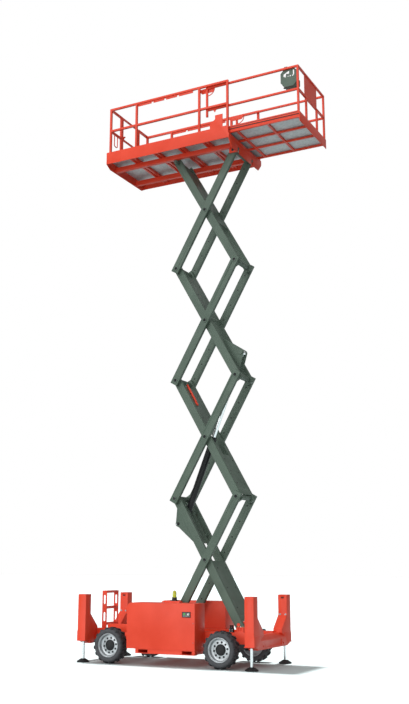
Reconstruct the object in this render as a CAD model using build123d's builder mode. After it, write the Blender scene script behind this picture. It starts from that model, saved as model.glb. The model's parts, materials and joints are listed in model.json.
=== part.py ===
from build123d import *
import os
from math import cos, radians, sin

# Scissor lift on four wheels, raised, with its jacks down and its sliding deck drawn out.
# X points forwards, Y to the machine's left and Z up. The origin is on the ground under
# the middle of the overall length. Sizes are in millimetres.

# Wheels
wheelbase = 2290
tyre_d = 650
tyre_width = 250
tyre_shoulder = 34
tyre_lug = 25
tyre_lug_width = 46
tyre_lug_length = 116
tyre_lug_slant = 22
tyre_lugs = 16
tyre_outer_y = 835
bead_r = 214
rim_inset = 13
rim_wall = 12
disc_inset = 85
disc_thick = 16
hub_r = 78
hub_half_length = 60
spindle_r = 45
spindle_end_gap = 12

# Axles and steering
axle_depth = 110
saddle_width = 90
kingpin_y = 500
kingpin_r = 22
knuckle_size = 80
knuckle_height = 140
yoke_thick = 20
yoke_gap = 5
steer_arm = 150
steer_arm_thick = 24
steer_arm_width = 60
steer_pin_r = 12
steer_slot_spare = 42
steer_pin_play = 5
steer_rod_r = 14
steer_rod_drop = 62
steer_barrel_r = 34
steer_barrel_half = 210

# Chassis
rail_inner_y = 300
rail_width = 80
rail_bottom_z = 400
rail_top_z = 600
cross_member_top_z = 540
cross_member_width = 120
cross_members_x = (-1450, -250, 350, 900, 1500)
track_inner_y = 368
track_width = 44
track_depth = 145
pivot_bracket_gap = 5
pivot_bracket_thick = 25
pivot_bracket_half = 80
pivot_bracket_rise = 60
rail_block_x = 1278
rail_block_length = 137
rail_block_height = 90
rail_block_slot = 22
rail_block_slot_depth = 12
valve_x = 1128
valve_length = 75
valve_width = 60
valve_height = 62
valve_stub_r = 14
valve_stub_top_z = 722
fork_rear_x = -403
fork_front_x = 503
fork_width = 200
fork_height = 58
fork_wall = 10
sill_width = 90
sill_overlap = 60

# Outrigger frames and jacks
outrigger_x = 1736
outrigger_y = 742
post_size = 172
post_bottom_z = 386
post_top_z = 1234
beam_back = 48
beam_width = 143
beam_bottom_z = 335
beam_top_z = 570
beam_chamfer = 80
beam_corner_y = 200
beam_corner_z = 65
beam_recess = 14
beam_recess_half = 380
beam_recess_z = (368, 468)
gusset_post_z = 875
gusset_wing_y = 412
gusset_wing_z = 635
gusset_foot_y = 545
gusset_foot_z = 490
post_slot_length = 62
post_slot_width = 26
post_slot_depth = 40
post_slot_z = 1178
foot_flange = 10
foot_flange_height = 16
tie_down_r = 20
tie_down_y = 450
tie_down_z = 390
jack_rod_r = 25
jack_rod_top_z = 890
jack_travel = 280
pad_d = 240
pad_height = 65
pad_rim = 18
pad_neck_r = 45
pad_seat_z = 30

# Side pods
pod_rear = 747
pod_front = 665
pod_inner_y = 425
pod_outer_y = 810
pod_bottom_z = 290
pod_top_z = 1100
pod_wall = 8
pod_corner_r = 95
door_gap = 5
hinge_pin_r = 8
hinge_eye_r = 16
hinge_offset = 20
hinge_length = 60
hinge_z = (450, 900)
panel_x = 417
panel_length = 166
panel_z = 861
panel_height = 94
panel_depth = 10
battery_size = (500, 280, 400)
pump_size = (460, 280, 460)

# Ladder and beacon
ladder_half_width = 210
ladder_plate = 10
ladder_depth = 105
ladder_bottom_z = 430
ladder_top_z = 1288
ladder_rung = 40
ladder_rungs_z = (664, 968, 1263)
ladder_grip_z = (800, 1120)
ladder_grip_length = 170
ladder_grip_width = 44
beacon_x = 72
beacon_y = -485
beacon_shelf_x = -104
beacon_shelf_length = 314
beacon_shelf_width = 120
beacon_shelf_height = 28
beacon_plate = 12
beacon_base_r = 46
beacon_base_top_z = 1192
beacon_lens_r = 38
beacon_top_z = 1317

# Scissor arms
stages = 4
arm_length = 2620
rest_angle = 60.5
stowed_angle = 4
base_pivot_x = 1277.5
base_pivot_z = 725
arm_depth = 156
arm_thick = 65
arm_overhang = 85
arm_inner_y = 220
arm_gap = 12
end_pin_r = 32
centre_pin_r = 38
cross_tube_r = 52
pin_head_r = 48
pin_head = 8
pin_clear = 0.3
web_thick = 10
web_foot_gap = 150
web_head_gap = 170
web_1_length = 1100
web_2_foot_length = 750
web_2_head_length = 930
web_3_length = 1050
web_4_length = 1490

# Safety prop on the second inner pair
prop_start = 2010
prop_length = 530
prop_height = 40
prop_width = 50
prop_y = 110

# Lift cylinder and its brackets
hump_along = 430
hump_offset = 235
hump_steep = 280
hump_shallow = 510
hump_nose_r = 62
hump_plate = 22
barrel_r = 62.5
barrel_side_gap = 5.5
barrel_length = 1780
barrel_bottom = 85
lift_rod_r = 35
rod_engagement = 109
lift_pin_r = 30
eye_r = 50
eye_half_width = 40
rib_r = 38

# Platform
platform_rear = -1462
platform_front = 1362
platform_half_width = 777
floor_thick = 12
toe_height = 140
side_drop = 115
sheet = 12
beam_inner_y = 366
platform_beam_width = 74
platform_beam_depth = 99.4
roller_r = 34
joist_depth = 58
joist_width = 44
joist_pair_gap = 26
joist_pairs = 4
nose_thick = 18
nose_drop = 71
nose_top_gap = 15
nose_corner = 145
nose_notch_rise = 59
end_plate_low = 190
end_plate_narrow = 140
upstand_x = 1079
upstand_length = 165
upstand_height = 410
upstand_foot = 116
upstand_foot_height = 246
upstand_neck_height = 325

# Guard rails
rail_tube = 44
rail_height = 1130
mid_rail_height = 625
side_posts_x = (-1387, -759, 710, 1339)
gate_half_width = 328
gate_play = 10
gate_tube = 36
gate_bottom_height = 180
gate_shelf = 20
gate_pin_r = 8
gate_pin_length = 60
latch_start_x = -724
latch_length = 1290
latch_depth = 50
latch_thick = 10
latch_first_notch = 344
latch_notch_pitch = 300
latch_notch_half = 22
latch_notch_depth = 30
latch_notches = 3
grab_y = (490, 605)
grab_drop = 253
grab_r = 10
grab_bend = 40

# Sliding deck
deck_out = 1485
deck_length = 2005
deck_side_gap = 7
deck_lift = 6
deck_channel_height = 104
deck_channel_width = 40
deck_groove = 20
deck_groove_depth = 12
deck_groove_heights = (22, 60)
deck_joist_height = 40
deck_floor_thick = 8
deck_toe_drop = 80
deck_toe_height = 135
deck_tube = 40
deck_rail_height = 1100
deck_mid_height = 600
deck_handle_bottom = 455
deck_front_post_y = 265
deck_panel_right = 360
deck_panel_left = 290
deck_panel_thick = 8
lever_radius = 145
lever_r = 9
catch_behind = 140
catch_length = 320
catch_depth = 110
catch_thick = 8
catch_cut = 40
stop_x = 155
stop_length = 78
stop_drop = 65
control_box_length = 350
control_box_front_gap = 47
control_box_depth = 210
control_box_height = 390
control_box_chamfer = 95
control_guard_thick = 8
control_body_inset = 30
control_body_height = 175
control_body_taper = 55
control_hole_r = 15
control_holes = 4
control_hole_pitch = 52
control_hole_height = 215
control_slot_length = 110
control_slot_width = 26
control_window = 120
control_hook_length = 60
control_hook_thick = 10

os.makedirs("parts", exist_ok=True)

# Places worked out from the sizes above
axle_mid_x = (outrigger_x + pad_d / 2 - platform_front - deck_out) / 2
front_axle_x = axle_mid_x + wheelbase / 2
rear_axle_x = axle_mid_x - wheelbase / 2
tyre_r = tyre_d / 2
tyre_mid_y = tyre_outer_y - tyre_width / 2
spindle_tip_y = tyre_mid_y + hub_half_length - spindle_end_gap
rail_outer_y = rail_inner_y + rail_width
carcass_r = tyre_r - tyre_lug
beam_back_x = outrigger_x - beam_back
beam_front_x = beam_back_x + beam_width
post_inner_y = outrigger_y - post_size / 2
post_outer_y = outrigger_y + post_size / 2
pod_x = (axle_mid_x - pod_rear, axle_mid_x + pod_front)
shell_outer_y = pod_outer_y - pod_wall - door_gap
pivot_x = axle_mid_x + base_pivot_x
rise = arm_length * sin(radians(rest_angle))
run = arm_length * cos(radians(rest_angle))
stowed_run = arm_length * cos(radians(stowed_angle))
inner_out_y = arm_inner_y + arm_thick
outer_in_y = inner_out_y + arm_gap
outer_out_y = outer_in_y + arm_thick
head_out_y = outer_out_y + pin_head
bracket_outer_y = arm_inner_y - pivot_bracket_gap
bracket_inner_y = bracket_outer_y - pivot_bracket_thick
platform_pivot_z = base_pivot_z + stages * rise
beam_under_z = platform_pivot_z + roller_r + pin_clear
joist_under_z = beam_under_z + platform_beam_depth
joist_top_z = joist_under_z + joist_depth
floor_z = joist_top_z + floor_thick
side_inner_y = platform_half_width - sheet
post_rail_y = side_inner_y - rail_tube
platform_back_x = axle_mid_x + platform_rear
platform_nose_x = axle_mid_x + platform_front
rail_top = floor_z + rail_height
deck_half_width = post_rail_y - deck_side_gap
deck_front_x = platform_nose_x + deck_out
deck_back_x = deck_front_x - deck_length
deck_under_z = floor_z + deck_lift
deck_channel_top = deck_under_z + deck_channel_height
deck_face_x = deck_front_x - sheet
plate_inner_y = barrel_r + barrel_side_gap
plate_outer_y = plate_inner_y + hump_plate


def block(x_span, y_span, z_span, mode=Mode.ADD):
    """Box between two values on each axis."""
    spans = (x_span, y_span, z_span)
    with Locations(tuple((low + high) / 2 for low, high in spans)):
        Box(*(abs(high - low) for low, high in spans), mode=mode)


def bar(start, end, radius, mode=Mode.ADD):
    """Round bar between two points."""
    way = Vector(*end) - Vector(*start)
    with BuildSketch(Plane(origin=start, z_dir=way)) as section:
        Circle(radius)
    extrude(section.sketch, amount=way.length, mode=mode)


def cross_bar(x, z, half_width, radius, mode=Mode.ADD):
    """Round bar across the machine, as wide on both sides."""
    bar((x, -half_width, z), (x, half_width, z), radius, mode)


def save(builder, name):
    """Label a finished piece and write it as a file of its own."""
    builder.part.label = name
    export_step(builder.part, f"parts/{name}.step")


# Chassis: two rails, cross members, roller tracks, fork pockets and the fixed pivot brackets
with BuildPart() as chassis_frame:
    for side in (-1, 1):
        rail = (side * rail_inner_y, side * rail_outer_y)
        block((axle_mid_x - beam_back_x, axle_mid_x + beam_back_x), rail, (rail_bottom_z, rail_top_z))
        track_z = base_pivot_z - end_pin_r - pin_head
        block(
            (pivot_x - stowed_run - arm_overhang, pivot_x - run + 2 * arm_overhang),
            (side * track_inner_y, side * (track_inner_y + track_width)),
            (track_z - track_depth, track_z),
        )
        bracket_x = (pivot_x - pivot_bracket_half, pivot_x + pivot_bracket_half)
        bracket_z = (cross_member_top_z, base_pivot_z + pivot_bracket_rise)
        block(bracket_x, (side * bracket_inner_y, side * bracket_outer_y), bracket_z)
        rail_block = (axle_mid_x + rail_block_x, axle_mid_x + rail_block_x + rail_block_length)
        block_z = (rail_top_z, rail_top_z + rail_block_height)
        block(rail_block, rail, block_z)
        for share in (1, 2):
            slot_mid = rail_block[0] + share * rail_block_length / 3
            slot_x = (slot_mid - rail_block_slot / 2, slot_mid + rail_block_slot / 2)
            slot_y = (side * (rail_outer_y - rail_block_slot_depth), side * rail_outer_y)
            slot_z = (block_z[0] + rail_block_slot, block_z[1] - rail_block_slot / 2)
            block(slot_x, slot_y, slot_z, Mode.SUBTRACT)
        sill = (side * (pod_outer_y - pod_wall - sill_width), side * (pod_outer_y - pod_wall))
        sill_x = (
            axle_mid_x + fork_rear_x - fork_width / 2 - sill_overlap,
            axle_mid_x + fork_front_x + fork_width / 2 + sill_overlap,
        )
        block(sill_x, sill, (pod_bottom_z - fork_height - 2 * fork_wall, pod_bottom_z))
    for x in (*cross_members_x, base_pivot_x):
        half = cross_member_width / 2
        member_x = (axle_mid_x + x - half, axle_mid_x + x + half)
        block(member_x, (-rail_inner_y, rail_inner_y), (rail_bottom_z, cross_member_top_z))
    for x in (fork_rear_x, fork_front_x):
        outer = fork_width / 2 + fork_wall
        tube_x = (axle_mid_x + x - outer, axle_mid_x + x + outer)
        tube_y = (-pod_outer_y + pod_wall, pod_outer_y - pod_wall)
        block(tube_x, tube_y, (pod_bottom_z - fork_height - 2 * fork_wall, pod_bottom_z))
        for side in (-1, 1):
            rail = (side * rail_inner_y, side * rail_outer_y)
            block(tube_x, rail, (pod_bottom_z, rail_bottom_z))
    for x in (fork_rear_x, fork_front_x):
        slot_x = (axle_mid_x + x - fork_width / 2, axle_mid_x + x + fork_width / 2)
        slot_z = (pod_bottom_z - fork_height - fork_wall, pod_bottom_z - fork_wall)
        block(slot_x, (-pod_outer_y, pod_outer_y), slot_z, Mode.SUBTRACT)
    cross_bar(pivot_x, base_pivot_z, bracket_inner_y, cross_tube_r)
    cross_bar(pivot_x, base_pivot_z, inner_out_y + pin_head, end_pin_r)
save(chassis_frame, "chassis_frame")

# Valve block on the right rail, with two upright unions
with BuildPart() as valve_block:
    valve_span = (axle_mid_x + valve_x, axle_mid_x + valve_x + valve_length)
    valve_mid_y = -(rail_inner_y + rail_outer_y) / 2
    valve_y = (valve_mid_y - valve_width / 2, valve_mid_y + valve_width / 2)
    block(valve_span, valve_y, (rail_top_z, rail_top_z + valve_height))
    for x in (valve_span[0] + valve_length / 4, valve_span[1] - valve_length / 4):
        stub_foot = (x, valve_mid_y, rail_top_z + valve_height / 2)
        bar(stub_foot, (x, valve_mid_y, valve_stub_top_z), valve_stub_r)
save(valve_block, "valve_block")

# Outrigger frames: a cross beam with cut corners, two hollow posts and their winged gussets at each end
for end, name in ((1, "front_outriggers"), (-1, "rear_outriggers")):
    with BuildPart() as outriggers:
        post_x = axle_mid_x + end * outrigger_x
        beam_x = (axle_mid_x + end * beam_back_x, axle_mid_x + end * beam_front_x)
        post_face_x = (post_x - post_size / 2, post_x + post_size / 2)
        with BuildSketch(Plane(origin=(beam_x[0], 0, 0), x_dir=(0, 1, 0), z_dir=(1, 0, 0))):
            Polygon(
                (-post_outer_y, beam_top_z),
                (-post_outer_y, beam_bottom_z + beam_corner_z),
                (beam_corner_y - post_outer_y, beam_bottom_z),
                (post_outer_y - beam_corner_y, beam_bottom_z),
                (post_outer_y, beam_bottom_z + beam_corner_z),
                (post_outer_y, beam_top_z),
                align=None,
            )
        extrude(amount=end * beam_width)
        with BuildSketch(Plane(origin=(0, gusset_foot_y, 0), x_dir=(1, 0, 0), z_dir=(0, -1, 0))):
            Polygon(
                (beam_x[1], beam_top_z),
                (beam_x[1], beam_top_z - beam_chamfer),
                (beam_x[1] - end * beam_chamfer, beam_top_z),
                align=None,
            )
        extrude(amount=2 * gusset_foot_y, mode=Mode.SUBTRACT)
        recess_x = (beam_x[1] - end * beam_recess, beam_x[1])
        block(recess_x, (-beam_recess_half, beam_recess_half), beam_recess_z, Mode.SUBTRACT)
        for side in (-1, 1):
            with Locations((post_x, side * outrigger_y, (post_bottom_z + post_top_z) / 2)):
                Box(post_size, post_size, post_top_z - post_bottom_z)
            flange_y = (side * post_inner_y, side * (post_outer_y + foot_flange))
            flange_x = (post_face_x[0] - foot_flange, post_face_x[1] + foot_flange)
            block(flange_x, flange_y, (post_bottom_z, post_bottom_z + foot_flange_height))
            with BuildSketch(Plane(origin=(post_face_x[0], 0, 0), x_dir=(0, 1, 0), z_dir=(1, 0, 0))):
                Polygon(
                    (side * post_inner_y, beam_bottom_z),
                    (side * post_inner_y, gusset_post_z),
                    (side * gusset_wing_y, gusset_wing_z),
                    (side * gusset_wing_y, beam_top_z),
                    (side * gusset_foot_y, gusset_foot_z),
                    (side * gusset_foot_y, beam_bottom_z),
                    align=None,
                )
            extrude(amount=post_size)
        for side in (-1, 1):
            bore_top = jack_rod_top_z + jack_travel + 2 * pin_head
            foot = (post_x, side * outrigger_y, beam_bottom_z)
            bar(foot, (foot[0], foot[1], bore_top), jack_rod_r + pin_clear, Mode.SUBTRACT)
            eye = (side * tie_down_y, tie_down_z)
            bar((beam_x[0], *eye), (beam_x[1], *eye), tie_down_r, Mode.SUBTRACT)
            slot_place = (post_x, side * post_inner_y, post_slot_z)
            with BuildSketch(Plane(origin=slot_place, x_dir=(1, 0, 0), z_dir=(0, side, 0))):
                SlotOverall(post_slot_length, post_slot_width)
            extrude(amount=post_slot_depth, mode=Mode.SUBTRACT)
    save(outriggers, name)

# Jacks: a rod in each post with a domed pad under it
jack_corners = (
    (1, -1, "front_right"),
    (1, 1, "front_left"),
    (-1, -1, "rear_right"),
    (-1, 1, "rear_left"),
)
for end, side, corner in jack_corners:
    foot_x = axle_mid_x + end * outrigger_x
    foot_y = side * outrigger_y
    with BuildPart() as jack_rod:
        bar((foot_x, foot_y, pad_seat_z), (foot_x, foot_y, jack_rod_top_z), jack_rod_r)
    save(jack_rod, f"jack_rod_{corner}")
    with BuildPart(Plane(origin=(foot_x, foot_y, 0))) as jack_pad:
        with Locations((0, 0, pad_rim / 2)):
            Cylinder(pad_d / 2, pad_rim)
        with Locations((0, 0, (pad_rim + pad_height) / 2)):
            Cone(pad_d / 2 - pad_rim, pad_neck_r, pad_height - pad_rim)
        with Locations((0, 0, (pad_seat_z + pad_height) / 2)):
            Cylinder(jack_rod_r + pin_clear, pad_height - pad_seat_z, mode=Mode.SUBTRACT)
    save(jack_pad, f"jack_pad_{corner}")


def pod_face(y, inset):
    """Side outline of a pod at one distance from the centre line, set in all round, rear top rounded."""
    with BuildSketch(Plane(origin=(0, y, 0), x_dir=(1, 0, 0), z_dir=(0, -1, 0))) as outline:
        Polygon(
            (pod_x[0] + inset, pod_bottom_z + inset),
            (pod_x[1] - inset, pod_bottom_z + inset),
            (pod_x[1] - inset, pod_top_z - inset),
            (pod_x[0] + inset, pod_top_z - inset),
            align=None,
        )
        fillet(outline.vertices().group_by(Axis.X)[0].sort_by(Axis.Y)[-1], pod_corner_r - inset)
    return outline.sketch


# Side pods: open-sided shells between the wheels, each closed by a full-face door
for side, hand in ((-1, "right"), (1, "left")):
    hinge_x = pod_x[0] - hinge_offset
    hinge_y = side * (shell_outer_y - hinge_eye_r)
    with BuildPart() as pod_shell:
        extrude(pod_face(side * pod_inner_y, 0), amount=side * (pod_inner_y - shell_outer_y))
        cavity_y = pod_inner_y + pod_wall
        cavity_depth = side * (cavity_y - pod_outer_y)
        extrude(pod_face(side * cavity_y, pod_wall), amount=cavity_depth, mode=Mode.SUBTRACT)
        for z in hinge_z:
            lug_y = (hinge_y - hinge_pin_r, hinge_y + hinge_pin_r)
            block((hinge_x, pod_x[0]), lug_y, (z, z + hinge_length))
            bar((hinge_x, hinge_y, z), (hinge_x, hinge_y, z + 2 * hinge_length), hinge_pin_r)
        if hand == "right":
            shelf_x = (axle_mid_x + beacon_shelf_x, axle_mid_x + beacon_shelf_x + beacon_shelf_length)
            shelf_y = (beacon_y - beacon_shelf_width / 2, beacon_y + beacon_shelf_width / 2)
            block(shelf_x, shelf_y, (pod_top_z, pod_top_z + beacon_shelf_height))
    save(pod_shell, f"{hand}_pod_shell")
    with BuildPart() as pod_door:
        extrude(pod_face(side * (pod_outer_y - pod_wall), 0), amount=-side * pod_wall)
        for z in hinge_z:
            eye_z = (z + hinge_length + pin_clear, z + 2 * hinge_length)
            bar((hinge_x, hinge_y, eye_z[0]), (hinge_x, hinge_y, eye_z[1]), hinge_eye_r)
            block((hinge_x - hinge_eye_r, hinge_x), (hinge_y, side * pod_outer_y), eye_z)
            block((hinge_x, pod_x[0]), (side * (pod_outer_y - pod_wall), side * pod_outer_y), eye_z)
            bar(
                (hinge_x, hinge_y, eye_z[0]),
                (hinge_x, hinge_y, eye_z[1]),
                hinge_pin_r + pin_clear,
                Mode.SUBTRACT,
            )
    save(pod_door, f"{hand}_pod_door")

# Ground control panel on the right door
with BuildPart() as ground_controls:
    block(
        (axle_mid_x + panel_x, axle_mid_x + panel_x + panel_length),
        (-pod_outer_y - panel_depth, -pod_outer_y),
        (panel_z, panel_z + panel_height),
    )
save(ground_controls, "ground_controls")

# Battery pack in the left pod and the pump unit in the right one
pod_floor_z = pod_bottom_z + pod_wall
pod_mid_y = (pod_inner_y + shell_outer_y) / 2
for side, size, name in ((1, battery_size, "battery_pack"), (-1, pump_size, "pump_unit")):
    with BuildPart(Plane(origin=(axle_mid_x, side * pod_mid_y, pod_floor_z))) as power_block:
        Box(*size, align=(Align.CENTER, Align.CENTER, Align.MIN))
    save(power_block, name)

# Ladder up the rear end, against the rear beam
with BuildPart() as ladder:
    ladder_x = (axle_mid_x - beam_back_x, axle_mid_x - beam_back_x + ladder_depth)
    for side in (-1, 1):
        plate_y = (side * (ladder_half_width - ladder_plate), side * ladder_half_width)
        block(ladder_x, plate_y, (ladder_bottom_z, ladder_top_z))
    for z in ladder_rungs_z:
        rung_y = (-ladder_half_width + ladder_plate, ladder_half_width - ladder_plate)
        block(ladder_x, rung_y, (z - ladder_rung / 2, z + ladder_rung / 2))
    for z in ladder_grip_z:
        with BuildSketch(Plane(origin=(sum(ladder_x) / 2, 0, z), x_dir=(0, 0, 1), z_dir=(0, 1, 0))):
            SlotOverall(ladder_grip_length, ladder_grip_width)
        extrude(amount=ladder_half_width, both=True, mode=Mode.SUBTRACT)
save(ladder, "ladder")

# Beacon on its shelf on the right pod's top
shelf_top_z = pod_top_z + beacon_shelf_height
with BuildPart(Plane(origin=(axle_mid_x + beacon_x, beacon_y, 0))) as beacon_base:
    foot_size = 2 * beacon_base_r + 2 * beacon_plate
    with Locations((0, 0, shelf_top_z + beacon_plate / 2)):
        Box(foot_size, foot_size, beacon_plate)
    with Locations((0, 0, (shelf_top_z + beacon_base_top_z) / 2)):
        Cylinder(beacon_base_r, beacon_base_top_z - shelf_top_z)
save(beacon_base, "beacon_base")
with BuildPart(Plane(origin=(axle_mid_x + beacon_x, beacon_y, 0))) as beacon_lens:
    with Locations((0, 0, (beacon_base_top_z + beacon_top_z) / 2)):
        Cylinder(beacon_lens_r, beacon_top_z - beacon_base_top_z)
    fillet(beacon_lens.edges().sort_by(Axis.Z)[-1], beacon_lens_r - pin_head)
save(beacon_lens, "beacon_lens")

# Rear axle: a beam with a spindle at each end, hung under the rails
with BuildPart() as rear_axle:
    half = axle_depth / 2
    axle_x = (rear_axle_x - half, rear_axle_x + half)
    block(axle_x, (-kingpin_y, kingpin_y), (tyre_r - half, tyre_r + half))
    for side in (-1, 1):
        saddle_y = (side * rail_inner_y, side * rail_outer_y)
        saddle_x = (rear_axle_x - saddle_width, rear_axle_x + saddle_width)
        block(saddle_x, saddle_y, (tyre_r, rail_bottom_z))
    cross_bar(rear_axle_x, tyre_r, spindle_tip_y, spindle_r)
save(rear_axle, "rear_axle")

# Front axle: a beam with a yoke and kingpin at each end, and the steering cylinder's barrel
yoke_in = knuckle_height / 2 + yoke_gap
yoke_out = yoke_in + yoke_thick
steer_x = front_axle_x - steer_arm
steer_z = tyre_r - steer_rod_drop
with BuildPart() as front_axle:
    half = axle_depth / 2
    axle_x = (front_axle_x - half, front_axle_x + half)
    beam_tip = kingpin_y - knuckle_size
    block(axle_x, (-beam_tip, beam_tip), (tyre_r - half, tyre_r + half))
    for side in (-1, 1):
        saddle_y = (side * rail_inner_y, side * rail_outer_y)
        saddle_x = (front_axle_x - saddle_width, front_axle_x + saddle_width)
        block(saddle_x, saddle_y, (tyre_r, rail_bottom_z))
        yoke_y = (side * (rail_outer_y + yoke_gap), side * (kingpin_y + knuckle_size / 2))
        for up in (-1, 1):
            block(axle_x, yoke_y, (tyre_r + up * yoke_in, tyre_r + up * yoke_out))
        end_y = (side * (rail_outer_y + yoke_gap), side * beam_tip)
        block(axle_x, end_y, (tyre_r - yoke_out, tyre_r + yoke_out))
        pin = (front_axle_x, side * kingpin_y)
        bar((*pin, tyre_r - yoke_out), (*pin, tyre_r + yoke_out), kingpin_r)
    barrel_y = (-steer_barrel_half, steer_barrel_half)
    block((steer_x, front_axle_x), barrel_y, (steer_z - steer_rod_r, steer_z + steer_rod_r))
    block((steer_x + steer_barrel_r, front_axle_x), barrel_y, (steer_z, tyre_r))
    cross_bar(steer_x, steer_z, steer_barrel_half, steer_barrel_r)
    cross_bar(steer_x, steer_z, steer_barrel_half, steer_rod_r + pin_clear, Mode.SUBTRACT)
save(front_axle, "front_axle")

# Knuckles: a kingpin block with the wheel's spindle and a slotted steering arm
for side, hand in ((-1, "right"), (1, "left")):
    with BuildPart() as knuckle:
        half = knuckle_size / 2
        centre_y = side * kingpin_y
        knuckle_x = (front_axle_x - half, front_axle_x + half)
        block(knuckle_x, (centre_y - half, centre_y + half),
              (tyre_r - knuckle_height / 2, tyre_r + knuckle_height / 2))
        bar((front_axle_x, centre_y, tyre_r), (front_axle_x, side * spindle_tip_y, tyre_r), spindle_r)
        arm_tip = steer_x - steer_slot_spare - 2 * steer_pin_r
        arm_y = (centre_y - steer_arm_width / 2, centre_y + steer_arm_width / 2)
        block((arm_tip, front_axle_x), arm_y,
              (tyre_r - steer_arm_thick / 2, tyre_r + steer_arm_thick / 2))
        slot_x = (steer_x - steer_slot_spare, steer_x + steer_slot_spare + steer_pin_r)
        slot_half = steer_pin_r + steer_pin_play
        block(slot_x, (centre_y - slot_half, centre_y + slot_half),
              (tyre_r - steer_arm_thick, tyre_r + steer_arm_thick), Mode.SUBTRACT)
        pin = (front_axle_x, centre_y)
        bar(
            (*pin, tyre_r - knuckle_height),
            (*pin, tyre_r + knuckle_height),
            kingpin_r + pin_clear,
            Mode.SUBTRACT,
        )
    save(knuckle, f"{hand}_knuckle")

# Steering rod: slides through its barrel, with an upright pin in each arm's slot
with BuildPart() as steering_rod:
    rod_half = kingpin_y + 2 * steer_pin_r
    cross_bar(steer_x, steer_z, rod_half, steer_rod_r)
    for side in (-1, 1):
        pin = (steer_x, side * kingpin_y)
        bar((*pin, steer_z), (*pin, tyre_r + steer_arm_thick), steer_pin_r)
save(steering_rod, "steering_rod")

# Wheels: tyre and rim around each spindle, outer faces flush left and right
wheel_corners = (
    (front_axle_x, -1, "front_right"),
    (front_axle_x, 1, "front_left"),
    (rear_axle_x, -1, "rear_right"),
    (rear_axle_x, 1, "rear_left"),
)
rim_half = tyre_width / 2 - rim_inset
tread_half = tyre_width / 2 - tyre_shoulder
lug_low_r = carcass_r - 2 * tyre_shoulder
lug_slant = radians(tyre_lug_slant)
lug_reach = (tyre_lug_width * cos(lug_slant) + tyre_lug_length * sin(lug_slant)) / 2
lug_top_r = (tyre_r**2 - lug_reach**2) ** 0.5
for wheel_x, side, corner in wheel_corners:
    wheel_plane = Plane(origin=(wheel_x, side * tyre_mid_y, tyre_r), x_dir=(1, 0, 0), z_dir=(0, side, 0))
    with BuildPart(wheel_plane) as tyre:
        # The carcass has a side to each lug and its bore half as many
        # The lugs' flat tops have their corners at the full radius
        for face in (-1, 1):
            with BuildSketch(wheel_plane) as tread:
                RegularPolygon(carcass_r, 2 * tyre_lugs)
            extrude(tread.sketch, amount=face * tread_half)
            with BuildSketch(wheel_plane.offset(face * tread_half)) as shoulder:
                RegularPolygon(carcass_r, 2 * tyre_lugs)
            extrude(shoulder.sketch, amount=face * tyre_shoulder, taper=45)
        for row in (-1, 1):
            with PolarLocations(0, tyre_lugs, start_angle=(row + 1) * 90 / tyre_lugs):
                with Locations((lug_low_r, 0, row * tyre_width / 4)):
                    Box(
                        lug_top_r - lug_low_r,
                        tyre_lug_width,
                        tyre_lug_length,
                        rotation=(row * tyre_lug_slant, 0, 0),
                        align=(Align.MIN, Align.CENTER, Align.CENTER),
                    )
        with BuildSketch(wheel_plane) as bore:
            RegularPolygon(bead_r, tyre_lugs, major_radius=False)
        extrude(bore.sketch, amount=tyre_width, both=True, mode=Mode.SUBTRACT)
    save(tyre, f"tyre_{corner}")
    with BuildPart(wheel_plane) as rim:
        Cylinder(bead_r - pin_clear, 2 * rim_half)
        Cylinder(bead_r - rim_wall, 2 * rim_half, mode=Mode.SUBTRACT)
        with Locations((0, 0, rim_half - disc_inset)):
            Cylinder(bead_r - rim_wall / 2, disc_thick)
        Cylinder(hub_r, 2 * hub_half_length)
        bore_top = hub_half_length - spindle_end_gap + pin_clear
        with Locations((0, 0, bore_top - tyre_width / 2)):
            Cylinder(spindle_r + pin_clear, tyre_width, mode=Mode.SUBTRACT)
    save(rim, f"rim_{corner}")


def inner_plane(stage):
    """Plane of an inner pair: x runs up the arm to the rear, y to its under side, z to the right."""
    foot = (pivot_x, 0, base_pivot_z + (stage - 1) * rise)
    return Plane(origin=foot, x_dir=(-run, 0, rise), z_dir=(0, -1, 0))


def outer_plane(stage):
    """Plane of an outer pair: x runs up the arm to the front, z to the right."""
    foot = (pivot_x - run, 0, base_pivot_z + (stage - 1) * rise)
    return Plane(origin=foot, x_dir=(run, 0, rise), z_dir=(0, -1, 0))


arm_u = (-arm_overhang, arm_length + arm_overhang)
arm_v = (-arm_depth / 2, arm_depth / 2)
web_v = (-arm_depth / 2, web_thick - arm_depth / 2)
# Stretches of each inner pair that a plate closes, away from the lift cylinder's path
web_head = arm_length - web_head_gap
web_spans = {
    1: ((web_foot_gap, web_foot_gap + web_1_length),),
    2: (
        (web_foot_gap, web_foot_gap + web_2_foot_length),
        (web_head - web_2_head_length, web_head),
    ),
    3: ((web_head - web_3_length, web_head),),
    4: ((web_head - web_4_length, web_head),),
}
# Lift cylinder brackets: where along the pair the pin is, its side, and which way the slope runs
hump_places = {
    1: (arm_length - hump_along, 1),
    3: (hump_along, -1),
}


def local_bar(u, v, low, high, radius, mode=Mode.ADD):
    """Round bar square to an arm, between two distances from the centre line."""
    with Locations((u, v, (low + high) / 2)):
        Cylinder(radius, high - low, mode=mode)


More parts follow.
